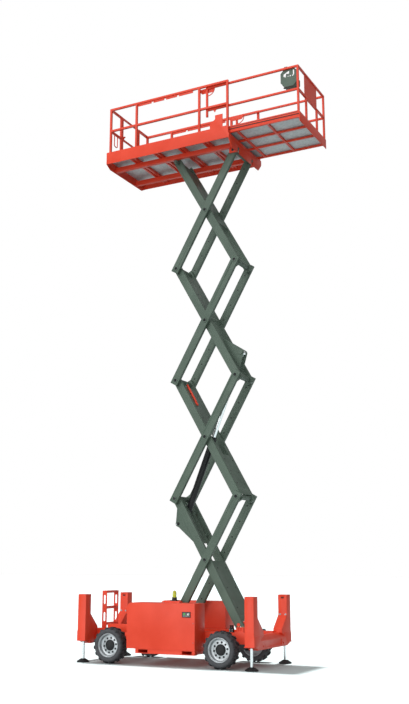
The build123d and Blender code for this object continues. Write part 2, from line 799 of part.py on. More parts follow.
for stage in range(1, stages + 1):
    arm_plane = inner_plane(stage)
    with BuildPart(arm_plane) as inner_arms:
        for side in (-1, 1):
            block(arm_u, arm_v, (side * arm_inner_y, side * inner_out_y))
            pin = sorted((side * inner_out_y, side * (head_out_y + pin_clear)))
            local_bar(arm_length / 2, 0, *pin, centre_pin_r)
            head = sorted((side * (outer_out_y + pin_clear), side * (head_out_y + pin_clear)))
            local_bar(arm_length / 2, 0, *head, pin_head_r)
        # The lowest pair's foot has no tube, because the chassis brackets stand between its arms
        tube_places = (arm_length,) if stage == 1 else (0, arm_length)
        for u in tube_places:
            local_bar(u, 0, -arm_inner_y, arm_inner_y, cross_tube_r)
        for span in web_spans[stage]:
            block(span, web_v, (-arm_inner_y, arm_inner_y))
        if stage in hump_places:
            hump_u, under = hump_places[stage]
            hump_v = under * hump_offset
            toe = hump_u - under * hump_shallow
            heel = hump_u + under * hump_steep
            base = under * arm_depth / 4
            with BuildSketch(arm_plane.offset(plate_inner_y)) as hump:
                with BuildLine():
                    Polyline((toe, base), (toe, -base), (heel, -base), (heel, base), (toe, base))
                make_face()
                with Locations((hump_u, hump_v)):
                    Circle(hump_nose_r)
                make_hull()
            extrude(amount=hump_plate)
            extrude(hump.sketch.moved(Location((0, 2 * plate_inner_y + hump_plate, 0))), amount=hump_plate)
            for u in (toe + under * 4 * rib_r, heel - under * 4 * rib_r):
                for side in (-1, 1):
                    rib = sorted((side * plate_outer_y, side * arm_inner_y))
                    local_bar(u, 0, *rib, rib_r)
            for side in (-1, 1):
                boss = sorted((side * plate_outer_y, side * (plate_outer_y + 2 * pin_head)))
                local_bar(hump_u, hump_v, *boss, lift_pin_r + 2 * pin_head)
        if stage == 1:
            local_bar(*(hump_u, hump_v), -plate_outer_y, plate_outer_y, lift_pin_r)
        ends = ((0, True), (arm_length, stage < stages))
        for u, bored in ends:
            if bored:
                local_bar(u, 0, -inner_out_y, inner_out_y, end_pin_r + pin_clear, Mode.SUBTRACT)
        if stage == stages:
            for side in (-1, 1):
                stub = sorted((side * inner_out_y, side * (track_inner_y + track_width)))
                local_bar(arm_length, 0, *stub, roller_r)
    save(inner_arms, f"inner_arms_{stage}")

# Safety prop: a bar lying on the second inner pair's upper plate
with BuildPart(inner_plane(2)) as safety_prop:
    prop_v = (-arm_depth / 2 - prop_height, -arm_depth / 2)
    block((prop_start, prop_start + prop_length), prop_v, (prop_y, prop_y + prop_width))
save(safety_prop, "safety_prop")

for stage in range(1, stages + 1):
    with BuildPart(outer_plane(stage)) as outer_arms:
        for side in (-1, 1):
            block(arm_u, arm_v, (side * outer_in_y, side * outer_out_y))
        local_bar(arm_length / 2, 0, -outer_out_y, outer_out_y, centre_pin_r + pin_clear, Mode.SUBTRACT)
        for u in (0, arm_length):
            local_bar(u, 0, -outer_out_y, outer_out_y, end_pin_r)
        foot_half = track_inner_y + track_width if stage == 1 else head_out_y
        foot_low = track_inner_y if stage == 1 else outer_out_y
        foot_r = end_pin_r + pin_head - pin_clear if stage == 1 else pin_head_r
        local_bar(0, 0, -foot_half, foot_half, end_pin_r)
        for side in (-1, 1):
            foot = sorted((side * foot_low, side * foot_half))
            local_bar(0, 0, *foot, foot_r)
        if stage == stages:
            tip_half = beam_inner_y + pivot_bracket_thick
            local_bar(arm_length, 0, -tip_half, tip_half, end_pin_r)
        else:
            for side in (-1, 1):
                tip = sorted((side * outer_out_y, side * head_out_y))
                local_bar(arm_length, 0, *tip, pin_head_r)
    save(outer_arms, f"outer_arms_{stage}")

# Lift cylinder: the barrel turns on the lowest inner pair, its rod reaches the third
lower_pin = inner_plane(1).from_local_coords(Vector(arm_length - hump_along, hump_offset, 0))
upper_pin = inner_plane(3).from_local_coords(Vector(hump_along, -hump_offset, 0))
lift_way = upper_pin - lower_pin
lift_plane = Plane(origin=lower_pin, x_dir=lift_way, z_dir=(0, -1, 0))
lift_length = lift_way.length
barrel_axis = Plane(origin=lower_pin, z_dir=lift_way)
with BuildPart(lift_plane) as lift_barrel:
    Cylinder(hump_nose_r, 2 * barrel_r)
    with BuildSketch(barrel_axis) as barrel_section:
        Circle(barrel_r)
    extrude(amount=barrel_length)
    with BuildSketch(barrel_axis.offset(barrel_bottom)) as bore_section:
        Circle(lift_rod_r + pin_clear)
    extrude(amount=barrel_length, mode=Mode.SUBTRACT)
    Cylinder(lift_pin_r + pin_clear, 2 * barrel_r, mode=Mode.SUBTRACT)
save(lift_barrel, "lift_barrel")
with BuildPart(lift_plane) as lift_rod:
    rod_start = barrel_length - rod_engagement
    with BuildSketch(barrel_axis.offset(rod_start)) as rod_section:
        Circle(lift_rod_r)
    extrude(amount=lift_length - rod_start)
    with Locations((lift_length, 0, 0)):
        Cylinder(eye_r, 2 * eye_half_width)
        Cylinder(lift_pin_r, 2 * (plate_inner_y - pin_head / 4))
save(lift_rod, "lift_rod")

# Platform frame: side panels, two beams, paired joists, end plate, nose plate and the pivot brackets
with BuildPart() as platform_frame:
    body_x = (platform_back_x, platform_nose_x)
    for side in (-1, 1):
        panel_y = (side * side_inner_y, side * platform_half_width)
        block(body_x, panel_y, (floor_z - side_drop, floor_z + toe_height))
        upstand = (axle_mid_x + upstand_x, axle_mid_x + upstand_x + upstand_length)
        with BuildSketch(Plane(origin=(0, panel_y[0], 0), x_dir=(1, 0, 0), z_dir=(0, -1, 0))):
            Polygon(
                (upstand[0] - upstand_foot, floor_z),
                (upstand[0] - upstand_foot, floor_z + upstand_foot_height),
                (upstand[0], floor_z + upstand_neck_height),
                (upstand[0], floor_z + upstand_height),
                (upstand[1], floor_z + upstand_height),
                (upstand[1], floor_z),
                align=None,
            )
        extrude(amount=-side * sheet)
        beam_y = (side * beam_inner_y, side * (beam_inner_y + platform_beam_width))
        block(body_x, beam_y, (beam_under_z, joist_under_z))
        bracket_y = (side * beam_inner_y, side * (beam_inner_y + pivot_bracket_thick))
        bracket_x = (pivot_x - pivot_bracket_half, pivot_x + pivot_bracket_half)
        block(bracket_x, bracket_y, (platform_pivot_z - pivot_bracket_rise, joist_under_z))
    joist_pitch = (platform_front - platform_rear) / (joist_pairs + 1)
    for number in range(1, joist_pairs + 1):
        pair_x = platform_back_x + number * joist_pitch
        for start in (pair_x - joist_pair_gap / 2 - joist_width, pair_x + joist_pair_gap / 2):
            joist_y = (-side_inner_y, side_inner_y)
            block((start, start + joist_width), joist_y, (joist_under_z, joist_top_z))
    low = floor_z - end_plate_low
    with BuildSketch(Plane(origin=(platform_back_x, 0, 0), x_dir=(0, 1, 0), z_dir=(1, 0, 0))):
        Polygon(
            (-platform_half_width, floor_z + toe_height),
            (-platform_half_width, floor_z - side_drop),
            (end_plate_narrow - platform_half_width, low),
            (platform_half_width - end_plate_narrow, low),
            (platform_half_width, floor_z - side_drop),
            (platform_half_width, floor_z + toe_height),
            align=None,
        )
    extrude(amount=sheet)
    nose_low = platform_pivot_z - nose_drop
    nose_top = floor_z - nose_top_gap
    with BuildSketch(Plane(origin=(platform_nose_x, 0, 0), x_dir=(0, 1, 0), z_dir=(1, 0, 0))):
        Polygon(
            (-platform_half_width, nose_top),
            (-platform_half_width, floor_z - side_drop),
            (nose_corner - platform_half_width, nose_low),
            (platform_half_width - nose_corner, nose_low),
            (platform_half_width, floor_z - side_drop),
            (platform_half_width, nose_top),
            align=None,
        )
    extrude(amount=nose_thick)
    for side in (-1, 1):
        notch_y = (side * (outer_in_y - arm_gap), side * (outer_out_y + arm_gap))
        notch_z = (nose_low, platform_pivot_z + nose_notch_rise)
        block((platform_nose_x, platform_nose_x + nose_thick), notch_y, notch_z, Mode.SUBTRACT)
    pin_half = beam_inner_y + platform_beam_width
    cross_bar(pivot_x, platform_pivot_z, pin_half, end_pin_r + pin_clear, Mode.SUBTRACT)
save(platform_frame, "platform_frame")

# Platform floor, with a runner strip each side for the sliding deck
with BuildPart() as platform_floor:
    floor_x = (platform_back_x + sheet, platform_nose_x)
    block(floor_x, (-side_inner_y, side_inner_y), (joist_top_z, floor_z))
    for side in (-1, 1):
        runner_y = (side * (deck_half_width - deck_channel_width), side * deck_half_width)
        runner_x = (deck_back_x - deck_out, platform_nose_x)
        block(runner_x, runner_y, (floor_z, deck_under_z - pin_clear))
save(platform_floor, "platform_floor")

# Guard rails of the main platform: each side with its rear return, gate post and notched latch bar
gate_hinge_y = gate_half_width - gate_play - gate_tube / 2
gate_bottom_z = floor_z + gate_bottom_height
rear_x = axle_mid_x + side_posts_x[0]
front_x = axle_mid_x + side_posts_x[-1]
for side, hand in ((-1, "right"), (1, "left")):
    with BuildPart() as guard_rail:
        half = rail_tube / 2
        mid_z = (floor_z + mid_rail_height - half, floor_z + mid_rail_height + half)
        top_z = (rail_top - rail_tube, rail_top)
        tube_y = (side * post_rail_y, side * side_inner_y)
        return_x = (rear_x - half, rear_x + half)
        for x in side_posts_x:
            block((axle_mid_x + x - half, axle_mid_x + x + half), tube_y, (floor_z, rail_top))
        for level in (mid_z, top_z):
            block((rear_x - half, front_x + half), tube_y, level)
            block(return_x, (side * gate_half_width, side * side_inner_y), level)
        gate_post = (side * gate_half_width, side * (gate_half_width + rail_tube))
        block(return_x, gate_post, (floor_z, rail_top))
        latch_mid = side * (post_rail_y + half)
        latch_y = (latch_mid - latch_thick / 2, latch_mid + latch_thick / 2)
        latch_x = (axle_mid_x + latch_start_x, axle_mid_x + latch_start_x + latch_length)
        latch_low = top_z[0] - latch_depth
        block(latch_x, latch_y, (latch_low, top_z[0]))
        for number in range(latch_notches):
            notch_mid = latch_x[0] + latch_first_notch + number * latch_notch_pitch
            notch_x = (notch_mid - latch_notch_half, notch_mid + latch_notch_half)
            block(notch_x, latch_y, (latch_low, latch_low + latch_notch_depth), Mode.SUBTRACT)
        if hand == "right":
            grab_low = mid_z[0] - grab_drop
            with BuildLine(Plane(origin=(rear_x, 0, 0), x_dir=(0, 1, 0), z_dir=(1, 0, 0))) as grab_way:
                FilletPolyline(
                    (-grab_y[1], mid_z[0]),
                    (-grab_y[1], grab_low),
                    (-grab_y[0], grab_low),
                    (-grab_y[0], mid_z[0]),
                    radius=grab_bend,
                )
            with BuildSketch(Plane(origin=(rear_x, -grab_y[1], mid_z[0]), z_dir=(0, 0, -1))):
                Circle(grab_r)
            sweep(path=grab_way.line)
        if hand == "left":
            shelf_x = (rear_x - gate_tube / 2, rear_x + gate_tube / 2)
            shelf_y = (gate_half_width - gate_play - gate_tube, gate_half_width)
            shelf_top = gate_bottom_z - pin_clear
            block(shelf_x, shelf_y, (shelf_top - gate_shelf, shelf_top))
            pin_top = (rear_x, gate_hinge_y, shelf_top + gate_pin_length)
            bar((rear_x, gate_hinge_y, shelf_top), pin_top, gate_pin_r)
    save(guard_rail, f"{hand}_guard_rail")

# Gate between the two rear posts, standing on the left one's pin
with BuildPart() as gate:
    half = gate_tube / 2
    gate_x = (rear_x - half, rear_x + half)
    gate_y = gate_half_width - gate_play
    stile_z = (gate_bottom_z, rail_top)
    for side in (-1, 1):
        block(gate_x, (side * (gate_y - gate_tube), side * gate_y), stile_z)
    levels = (stile_z[0] + half, floor_z + mid_rail_height, rail_top - half)
    for z in levels:
        block(gate_x, (-gate_y, gate_y), (z - half, z + half))
    socket = (rear_x, gate_hinge_y, gate_bottom_z)
    socket_top = (rear_x, gate_hinge_y, gate_bottom_z + gate_pin_length)
    bar(socket, socket_top, gate_pin_r + pin_clear, Mode.SUBTRACT)
save(gate, "gate")

# Sliding deck: side channels, joists and the front toe plate
with BuildPart() as deck_frame:
    inner_y = deck_half_width - deck_channel_width
    for side in (-1, 1):
        channel_y = (side * inner_y, side * deck_half_width)
        block((deck_back_x, deck_face_x), channel_y, (deck_under_z, deck_channel_top))
        groove_y = (side * (deck_half_width - deck_groove_depth), side * deck_half_width)
        for height in deck_groove_heights:
            groove_z = (deck_under_z + height, deck_under_z + height + deck_groove)
            block((deck_back_x, deck_face_x), groove_y, groove_z, Mode.SUBTRACT)
    joist_z = (deck_under_z, deck_under_z + deck_joist_height)
    cell = (deck_length - sheet - deck_channel_width) / 3
    for number in range(4):
        start = deck_back_x + number * cell
        block((start, start + deck_channel_width), (-inner_y, inner_y), joist_z)
    for side in (-1, 1):
        middle = side * inner_y / 3
        half = deck_channel_width / 2
        block((deck_back_x, deck_face_x), (middle - half, middle + half), joist_z)
    toe_z = (deck_under_z - deck_toe_drop, deck_under_z + deck_toe_height - sheet)
    block((deck_face_x, deck_front_x), (-deck_half_width, deck_half_width), toe_z)
save(deck_frame, "deck_frame")

with BuildPart() as deck_floor:
    floor_low = deck_under_z + deck_joist_height
    block((deck_back_x, deck_face_x), (-inner_y, inner_y), (floor_low, floor_low + deck_floor_thick))
save(deck_floor, "deck_floor")

# Deck rails: two long rails a side, front corner posts, front panel, push handles, levers and catches
with BuildPart() as deck_rails:
    top_z = (floor_z + deck_rail_height - deck_tube, floor_z + deck_rail_height)
    mid_z = (floor_z + deck_mid_height - deck_tube / 2, floor_z + deck_mid_height + deck_tube / 2)
    front_rail_x = (deck_face_x - deck_tube, deck_face_x)
    rail_in = deck_half_width - deck_tube
    for side in (-1, 1):
        tube_y = (side * rail_in, side * deck_half_width)
        for level in (mid_z, top_z):
            block((deck_back_x, deck_face_x), tube_y, level)
        block(front_rail_x, tube_y, (deck_channel_top, top_z[1]))
        handle = (deck_back_x, deck_back_x + deck_tube)
        block(handle, tube_y, (floor_z + deck_handle_bottom, top_z[1]))
        lever_y = side * (rail_in + deck_tube / 2)
        with BuildSketch(Plane(origin=(handle[1] + lever_radius, lever_y, top_z[0]))):
            Circle(lever_r)
        revolve(axis=Axis((handle[1], lever_y, top_z[0]), (0, 1, 0)), revolution_arc=90)
        catch_x = (deck_back_x - catch_behind, deck_back_x - catch_behind + catch_length)
        catch_low = top_z[1] - catch_depth
        with BuildSketch(Plane(origin=(0, side * rail_in, 0), x_dir=(1, 0, 0), z_dir=(0, -1, 0))):
            Polygon(
                (catch_x[0], top_z[1]),
                (catch_x[0], catch_low + catch_cut),
                (catch_x[0] + catch_cut, catch_low),
                (catch_x[1] - catch_cut, catch_low),
                (catch_x[1], catch_low + catch_cut),
                (catch_x[1], top_z[1]),
                align=None,
            )
        extrude(amount=side * catch_thick)
        stop_span = (deck_back_x + stop_x, deck_back_x + stop_x + stop_length)
        with BuildSketch(Plane(origin=(0, lever_y, 0), x_dir=(1, 0, 0), z_dir=(0, -1, 0))):
            Polygon(
                (stop_span[0], mid_z[0]),
                (sum(stop_span) / 2, mid_z[0] - stop_drop),
                (stop_span[1], mid_z[0]),
                align=None,
            )
        extrude(amount=catch_thick)
        post_y = (side * deck_front_post_y, side * (deck_front_post_y + deck_tube))
        block(front_rail_x, post_y, (deck_under_z + deck_joist_height + deck_floor_thick, mid_z[1]))
    for level in (mid_z, top_z):
        block(front_rail_x, (-rail_in, rail_in), level)
    panel_mid = deck_face_x - deck_tube / 2
    block((panel_mid - deck_panel_thick / 2, panel_mid + deck_panel_thick / 2),
          (-deck_panel_right, deck_panel_left), (mid_z[1], top_z[0]))
save(deck_rails, "deck_rails")

# Control box inside the right top rail of the deck: a pierced guard plate, a low body and its hook
with BuildPart() as control_box:
    box_front = deck_front_x - control_box_front_gap
    box_back = box_front - control_box_length
    box_top = floor_z + deck_rail_height
    box_low = box_top - control_box_height
    cut = control_box_chamfer
    guard_y = -rail_in + control_guard_thick
    with BuildSketch(Plane(origin=(0, guard_y, 0), x_dir=(1, 0, 0), z_dir=(0, -1, 0))):
        Polygon(
            (box_back, box_top - cut),
            (box_back, box_low + cut),
            (box_back + cut, box_low),
            (box_front - cut, box_low),
            (box_front, box_low + cut),
            (box_front, box_top - cut),
            (box_front - cut, box_top),
            (box_back + cut, box_top),
            align=None,
        )
        window = (box_back + 2 * control_body_inset, box_top - 2 * control_body_inset)
        Polygon(
            (window[0] + control_window, window[1]),
            (window[0], window[1] - control_window / 2),
            (window[0], window[1] - control_window),
            (window[0] + control_window, window[1] - control_window / 2),
            align=None,
            mode=Mode.SUBTRACT,
        )
        slot_x = window[0] + 2 * control_window - control_body_inset
        with Locations((slot_x, window[1] - control_slot_length / 2)):
            SlotOverall(control_slot_length, control_slot_width, rotation=90, mode=Mode.SUBTRACT)
        with Locations(((box_back + box_front) / 2, box_low + control_hole_height)):
            with GridLocations(control_hole_pitch, control_hole_pitch, control_holes, 1):
                Circle(control_hole_r, mode=Mode.SUBTRACT)
    extrude(amount=control_guard_thick)
    body_x = (box_back + control_body_inset, box_front - control_body_inset)
    body_top = box_low + control_body_height
    with BuildSketch(Plane(origin=(0, guard_y, 0), x_dir=(1, 0, 0), z_dir=(0, -1, 0))):
        Polygon(
            (body_x[0], body_top),
            (body_x[0], box_low + control_body_taper),
            (body_x[0] + control_body_taper, box_low),
            (body_x[1] - control_body_taper, box_low),
            (body_x[1], box_low + control_body_taper),
            (body_x[1], body_top),
            align=None,
        )
    extrude(amount=control_guard_thick - control_box_depth)
    hook_x = (box_back + cut, box_back + cut + control_hook_length)
    block(hook_x, (-deck_half_width, guard_y), (box_top, box_top + control_hook_thick))
save(control_box, "control_box")
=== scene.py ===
import json
from math import cos, pi, radians, sin

import bmesh
import bpy
from mathutils import Matrix, Vector

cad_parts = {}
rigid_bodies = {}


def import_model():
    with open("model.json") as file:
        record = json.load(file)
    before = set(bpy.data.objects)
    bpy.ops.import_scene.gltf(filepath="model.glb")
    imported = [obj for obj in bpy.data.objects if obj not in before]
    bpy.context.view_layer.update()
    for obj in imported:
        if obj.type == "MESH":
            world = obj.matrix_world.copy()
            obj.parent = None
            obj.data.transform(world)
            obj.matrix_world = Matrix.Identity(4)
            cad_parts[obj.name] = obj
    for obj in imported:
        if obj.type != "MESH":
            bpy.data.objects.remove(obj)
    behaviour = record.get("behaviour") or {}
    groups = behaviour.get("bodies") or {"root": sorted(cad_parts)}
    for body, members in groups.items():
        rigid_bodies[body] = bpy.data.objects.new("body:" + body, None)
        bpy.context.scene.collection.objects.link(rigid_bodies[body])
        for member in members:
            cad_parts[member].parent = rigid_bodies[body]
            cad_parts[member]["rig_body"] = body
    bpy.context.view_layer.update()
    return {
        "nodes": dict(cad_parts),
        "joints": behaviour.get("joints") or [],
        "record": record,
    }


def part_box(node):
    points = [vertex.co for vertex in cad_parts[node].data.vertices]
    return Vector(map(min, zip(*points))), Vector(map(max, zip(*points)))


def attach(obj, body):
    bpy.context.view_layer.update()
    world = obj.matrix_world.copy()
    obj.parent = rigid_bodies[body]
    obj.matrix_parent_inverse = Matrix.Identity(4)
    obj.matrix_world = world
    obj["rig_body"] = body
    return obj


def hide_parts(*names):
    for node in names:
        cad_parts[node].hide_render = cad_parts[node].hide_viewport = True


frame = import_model()

bl_info = {
    "name": "Scissor lift dressing",
    "version": (1, 0, 0),
    "blender": (4, 5, 0),
    "location": "View3D > Sidebar > Scissor lift",
    "description": "Finishes and details a packed scissor lift, group by group",
    "category": "Object",
}

MM = 0.001
RIGHT = Vector((0, -1, 0))
UP = Vector((0, 0, 1))
FORWARD = Vector((1, 0, 0))
CORNERS = ("front_right", "front_left", "rear_right", "rear_left")
STAGES = (1, 2, 3, 4)
node_slot = {part["node"]: part["material_slot"] for part in frame["record"]["subparts"]}
node_body = {node: piece["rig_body"] for node, piece in frame["nodes"].items()}
joint_place = {joint["name"]: Vector(joint["pos_m"]) for joint in frame["joints"] if "pos_m" in joint}
axle_mid_x = (joint_place["front_right_wheel"].x + joint_place["rear_right_wheel"].x) / 2


def linear(hex_colour):
    """Linear RGBA of an sRGB hex colour."""
    parts = [int(hex_colour[i:i + 2], 16) / 255 for i in (1, 3, 5)]
    return tuple(p / 12.92 if p <= 0.04045 else ((p + 0.055) / 1.055) ** 2.4 for p in parts) + (1.0,)


def node_box(node):
    """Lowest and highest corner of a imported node."""
    return tuple(Vector(point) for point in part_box(node))


def at(x, y, z):
    """Point in metres from millimetres, x from the middle between the axles."""
    return Vector((axle_mid_x + x * MM, y * MM, z * MM))


def colour_property(name, description, hex_colour):
    """Colour that a user may change, given as sRGB hex."""
    return bpy.props.FloatVectorProperty(
        name=name, description=description, subtype="COLOR", size=4, min=0, max=1, default=linear(hex_colour)
    )


def length_property(name, description, millimetres):
    """Length that a user may change, given in millimetres."""
    return bpy.props.FloatProperty(
        name=name, description=description, unit="LENGTH", min=0, precision=4, default=millimetres * MM
    )


class LiftColours(bpy.types.PropertyGroup):
    """Colours of the machine's finishes."""

    lift_paint: colour_property("Lift paint", "Orange-red enamel of chassis and platform", "#E64A31")
    lift_paint_deep: colour_property("Deep lift paint", "The same enamel where it lies thicker", "#DE4228")
    arm_paint: colour_property("Arm paint", "Grey-green enamel of the scissor arms", "#57685C")
    arm_paint_deep: colour_property("Deep arm paint", "The same enamel where it lies thicker", "#4F5F54")
    black_paint: colour_property("Black paint", "Satin black of axles and cylinder barrel", "#141517")
    rubber: colour_property("Sidewall rubber", "Dusty rubber of the tyre's sides", "#414346")
    rubber_dust: colour_property("Rubber dust", "Dust in the rubber's grain", "#57565A")
    # The lugs' darker colour is painted shade among the lugs
    tread: colour_property("Shaded tread rubber", "Darker rubber of the lugs", "#212326")
    silver: colour_property("Silver", "Silver wheel paint", "#AEB3B6")
    galvanised: colour_property("Galvanised", "Zinc coated floor sheet", "#B4B7B8")
    galvanised_dark: colour_property("Dark spangle", "Darker crystals of the zinc coat", "#9EA2A4")
    plastic: colour_property("Dark plastic", "Moulded dark grey plastic", "#2C2E30")
    chrome: colour_property("Chrome", "Hard chrome on the rods", "#D4D6D8")
    zinc: colour_property("Zinc", "Plated nuts and bolts", "#8F9294")
    lens: colour_property("Lens", "Yellow-green lens of the beacon", "#C9D21A")
    signal_green: colour_property("Signal green", "Lit green lamp", "#35B54A")
    signal_red: colour_property("Signal red", "Stop buttons", "#C8161D")
    knob: colour_property("Knob", "Pale knobs and caps", "#E4E4E0")
    panel: colour_property("Panel", "Grey plate of the ground controls", "#747775")
    brass: colour_property("Brass", "Hose unions", "#B08D4A")


class LiftSizes(bpy.types.PropertyGroup):
    """Sizes of the details."""

    edge: length_property("Edge round", "Round on the edges of welded steel", 5)
    tube_edge: length_property("Tube round", "Round on the edges of square tube", 6)
    lug_depth: length_property("Lug depth", "Depth of a lug, with its root in the carcass", 60)
    lug_width: length_property("Lug width", "Width of a lug round the tyre", 46)
    lug_length: length_property("Lug length", "Length of a lug from the tread's middle to the shoulder", 110)
    bolt: length_property("Bolt head", "Radius of a bolt head", 13)
    tread_pitch: length_property("Tread pitch", "Spacing of the bumps on the floors", 62)
    lugs: bpy.props.IntProperty(name="Lugs", description="Lugs on each side of a tyre", default=16, min=6)
    nuts: bpy.props.IntProperty(name="Wheel nuts", description="Nuts on each wheel", default=10, min=4)


def colours():
    return bpy.context.scene.lift_colours


def sizes():
    return bpy.context.scene.lift_sizes


# Materials

def add_node(tree, kind, inputs=None, **settings):
    """Add one node with its settings; an input is a value, or a socket to link from."""
    node = tree.nodes.new(kind)
    for key, value in settings.items():
        setattr(node, key, value)
    for key, value in (inputs or {}).items():
        if isinstance(value, bpy.types.NodeSocket):
            tree.links.new(value, node.inputs[key])
        else:
            node.inputs[key].default_value = value
    return node


def per_metre(millimetres):
    """Texture scale that repeats a pattern about once in that many millimetres."""
    return 1 / (millimetres * MM)


def start_material(name, **shader_values):
    """New material with constants set on its shader; gives its tree, shader and Object coordinates."""
    material = bpy.data.materials.new(name)
    material.use_nodes = True
    tree = material.node_tree
    shader = tree.nodes["Principled BSDF"]
    for key, value in shader_values.items():
        shader.inputs[key.replace("_", " ")].default_value = value
    place = add_node(tree, "ShaderNodeTexCoord").outputs["Object"]
    return tree, shader, place


def two_tone(tree, shader, place, light, deep, patch_mm, low=0.35, high=0.65):
    """Colour that drifts between two shades in patches."""
    patches = {"Vector": place, "Scale": per_metre(patch_mm), "Detail": 3.0}
    value = add_node(tree, "ShaderNodeTexNoise", patches).outputs["Fac"]
    spread = add_node(tree, "ShaderNodeMapRange", {"Value": value, "From Min": low, "From Max": high})
    share = spread.outputs["Result"]
    mix = add_node(tree, "ShaderNodeMix", {"Factor": share, "A": light, "B": deep}, data_type="RGBA")
    tree.links.new(mix.outputs["Result"], shader.inputs["Base Color"])


def uneven_gloss(tree, shader, place, patch_mm, low, high):
    """Roughness that drifts between two values in patches."""
    patches = {"Vector": place, "Scale": per_metre(patch_mm), "Detail": 4.0}
    value = add_node(tree, "ShaderNodeTexNoise", patches).outputs["Fac"]
    spread = add_node(
        tree,
        "ShaderNodeMapRange",
        {"Value": value, "From Min": 0.3, "From Max": 0.7, "To Min": low, "To Max": high},
    )
    tree.links.new(spread.outputs["Result"], shader.inputs["Roughness"])


def grain(tree, shader, place, pitch_mm, height_mm, strength):
    """Fine bump over the surface."""
    grit = {"Vector": place, "Scale": per_metre(pitch_mm), "Detail": 2.0}
    height = add_node(tree, "ShaderNodeTexNoise", grit).outputs["Fac"]
    bump = add_node(
        tree, "ShaderNodeBump", {"Height": height, "Distance": height_mm * MM, "Strength": strength}
    )
    tree.links.new(bump.outputs["Normal"], shader.inputs["Normal"])


def enamel(name, light, deep, low, high):
    """Sprayed enamel: two close shades, uneven gloss and a faint orange peel, drawn coarser than real."""
    tree, shader, place = start_material(name, Specular_IOR_Level=0.25, IOR=1.5)
    two_tone(tree, shader, place, light, deep, patch_mm=420)
    uneven_gloss(tree, shader, place, patch_mm=160, low=low, high=high)
    grain(tree, shader, place, pitch_mm=14, height_mm=0.4, strength=0.12)


def make_lift_paint():
    """Gloss orange-red enamel sprayed on steel: clean, bright, with soft reflections."""
    enamel("Orange-red enamel", colours().lift_paint, colours().lift_paint_deep, low=0.34, high=0.46)


def make_arm_paint():
    """Satin grey-green enamel on the arms: even and slightly dull."""
    enamel("Grey-green enamel", colours().arm_paint, colours().arm_paint_deep, low=0.42, high=0.56)


def make_black_paint():
    """Satin black paint on axles and barrel."""
    tree, shader, place = start_material("Satin black paint", Specular_IOR_Level=0.25, IOR=1.5)
    two_tone(tree, shader, place, colours().black_paint, colours().plastic, patch_mm=260, low=0.4, high=0.9)
    uneven_gloss(tree, shader, place, patch_mm=90, low=0.38, high=0.52)
    grain(tree, shader, place, pitch_mm=12, height_mm=0.3, strength=0.15)


def make_chrome():
    """Hard chrome, ground round and round: fine rings across the rod, drawn coarser than real."""
    tree, shader, place = start_material("Hard chrome", Metallic=1.0)
    shader.inputs["Base Color"].default_value = colours().chrome
    uneven_gloss(tree, shader, place, patch_mm=60, low=0.10, high=0.22)
    # At a scale of 1 the wave turns by 20 radians in a metre
    ring_mm, wave_turn = 37.7, 20
    rings = add_node(
        tree,
        "ShaderNodeTexWave",
        {"Vector": place, "Scale": per_metre(ring_mm) * 2 * pi / wave_turn, "Distortion": 0.6},
        wave_type="BANDS",
        bands_direction="Z",
    )
    bump = add_node(
        tree, "ShaderNodeBump", {"Height": rings.outputs["Fac"], "Distance": 0.05 * MM, "Strength": 0.2}
    )
    tree.links.new(bump.outputs["Normal"], shader.inputs["Normal"])


def make_rubber():
    """Moulded tyre rubber: matt, dusty on the sides, darker on the lugs, where the darkness is painted
    shade.
    """
    for name, colour in (("Tyre rubber", colours().rubber), ("Shaded tread rubber", colours().tread)):
        tree, shader, place = start_material(name, IOR=1.5)
        two_tone(tree, shader, place, colour, colours().rubber_dust, patch_mm=45, low=0.5, high=1.0)
        uneven_gloss(tree, shader, place, patch_mm=30, low=0.68, high=0.88)
        grain(tree, shader, place, pitch_mm=7, height_mm=0.6, strength=0.4)


def make_silver():
    """Silver wheel paint: bright metal flake under lacquer."""
    tree, shader, place = start_material("Silver wheel paint", Metallic=0.55, Coat_Weight=0.3)
    two_tone(tree, shader, place, colours().silver, colours().zinc, patch_mm=150, low=0.5, high=1.0)
    uneven_gloss(tree, shader, place, patch_mm=50, low=0.30, high=0.42)
    grain(tree, shader, place, pitch_mm=5, height_mm=0.2, strength=0.15)


def make_galvanised():
    """Hot-dip galvanised sheet: flat zinc crystals in two greys, drawn about twice as large as real."""
    tree, shader, place = start_material("Galvanised sheet", Metallic=0.35)
    cells = add_node(tree, "ShaderNodeTexVoronoi", {"Vector": place, "Scale": per_metre(28)})
    split = add_node(tree, "ShaderNodeSeparateColor", {"Color": cells.outputs["Color"]})
    mix = add_node(
        tree,
        "ShaderNodeMix",
        {"Factor": split.outputs["Red"], "A": colours().galvanised, "B": colours().galvanised_dark},
        data_type="RGBA",
    )
    tree.links.new(mix.outputs["Result"], shader.inputs["Base Color"])
    uneven_gloss(tree, shader, place, patch_mm=40, low=0.42, high=0.62)
    grain(tree, shader, place, pitch_mm=10, height_mm=0.2, strength=0.15)


def moulded(name, colour, shade, low, high):
    """Moulded plastic: fine grain from the mould, drawn coarser than real."""
    tree, shader, place = start_material(name, Specular_IOR_Level=0.3, IOR=1.46)
    two_tone(tree, shader, place, colour, shade, patch_mm=120, low=0.4, high=0.9)
    uneven_gloss(tree, shader, place, patch_mm=40, low=low, high=high)
    grain(tree, shader, place, pitch_mm=4, height_mm=0.3, strength=0.3)


def make_plastics():
    """Black pads, dark housings, pale knobs and blank plates, red and green controls."""
    moulded("Black pad plastic", colours().black_paint, colours().plastic, low=0.40, high=0.55)
    moulded("Dark housing plastic", colours().plastic, colours().black_paint, low=0.48, high=0.62)
    moulded("Pale plastic", colours().knob, colours().silver, low=0.35, high=0.5)
    moulded("Red button plastic", colours().signal_red, colours().lift_paint_deep, low=0.25, high=0.35)
    moulded("Grey panel plastic", colours().panel, colours().plastic, low=0.5, high=0.6)


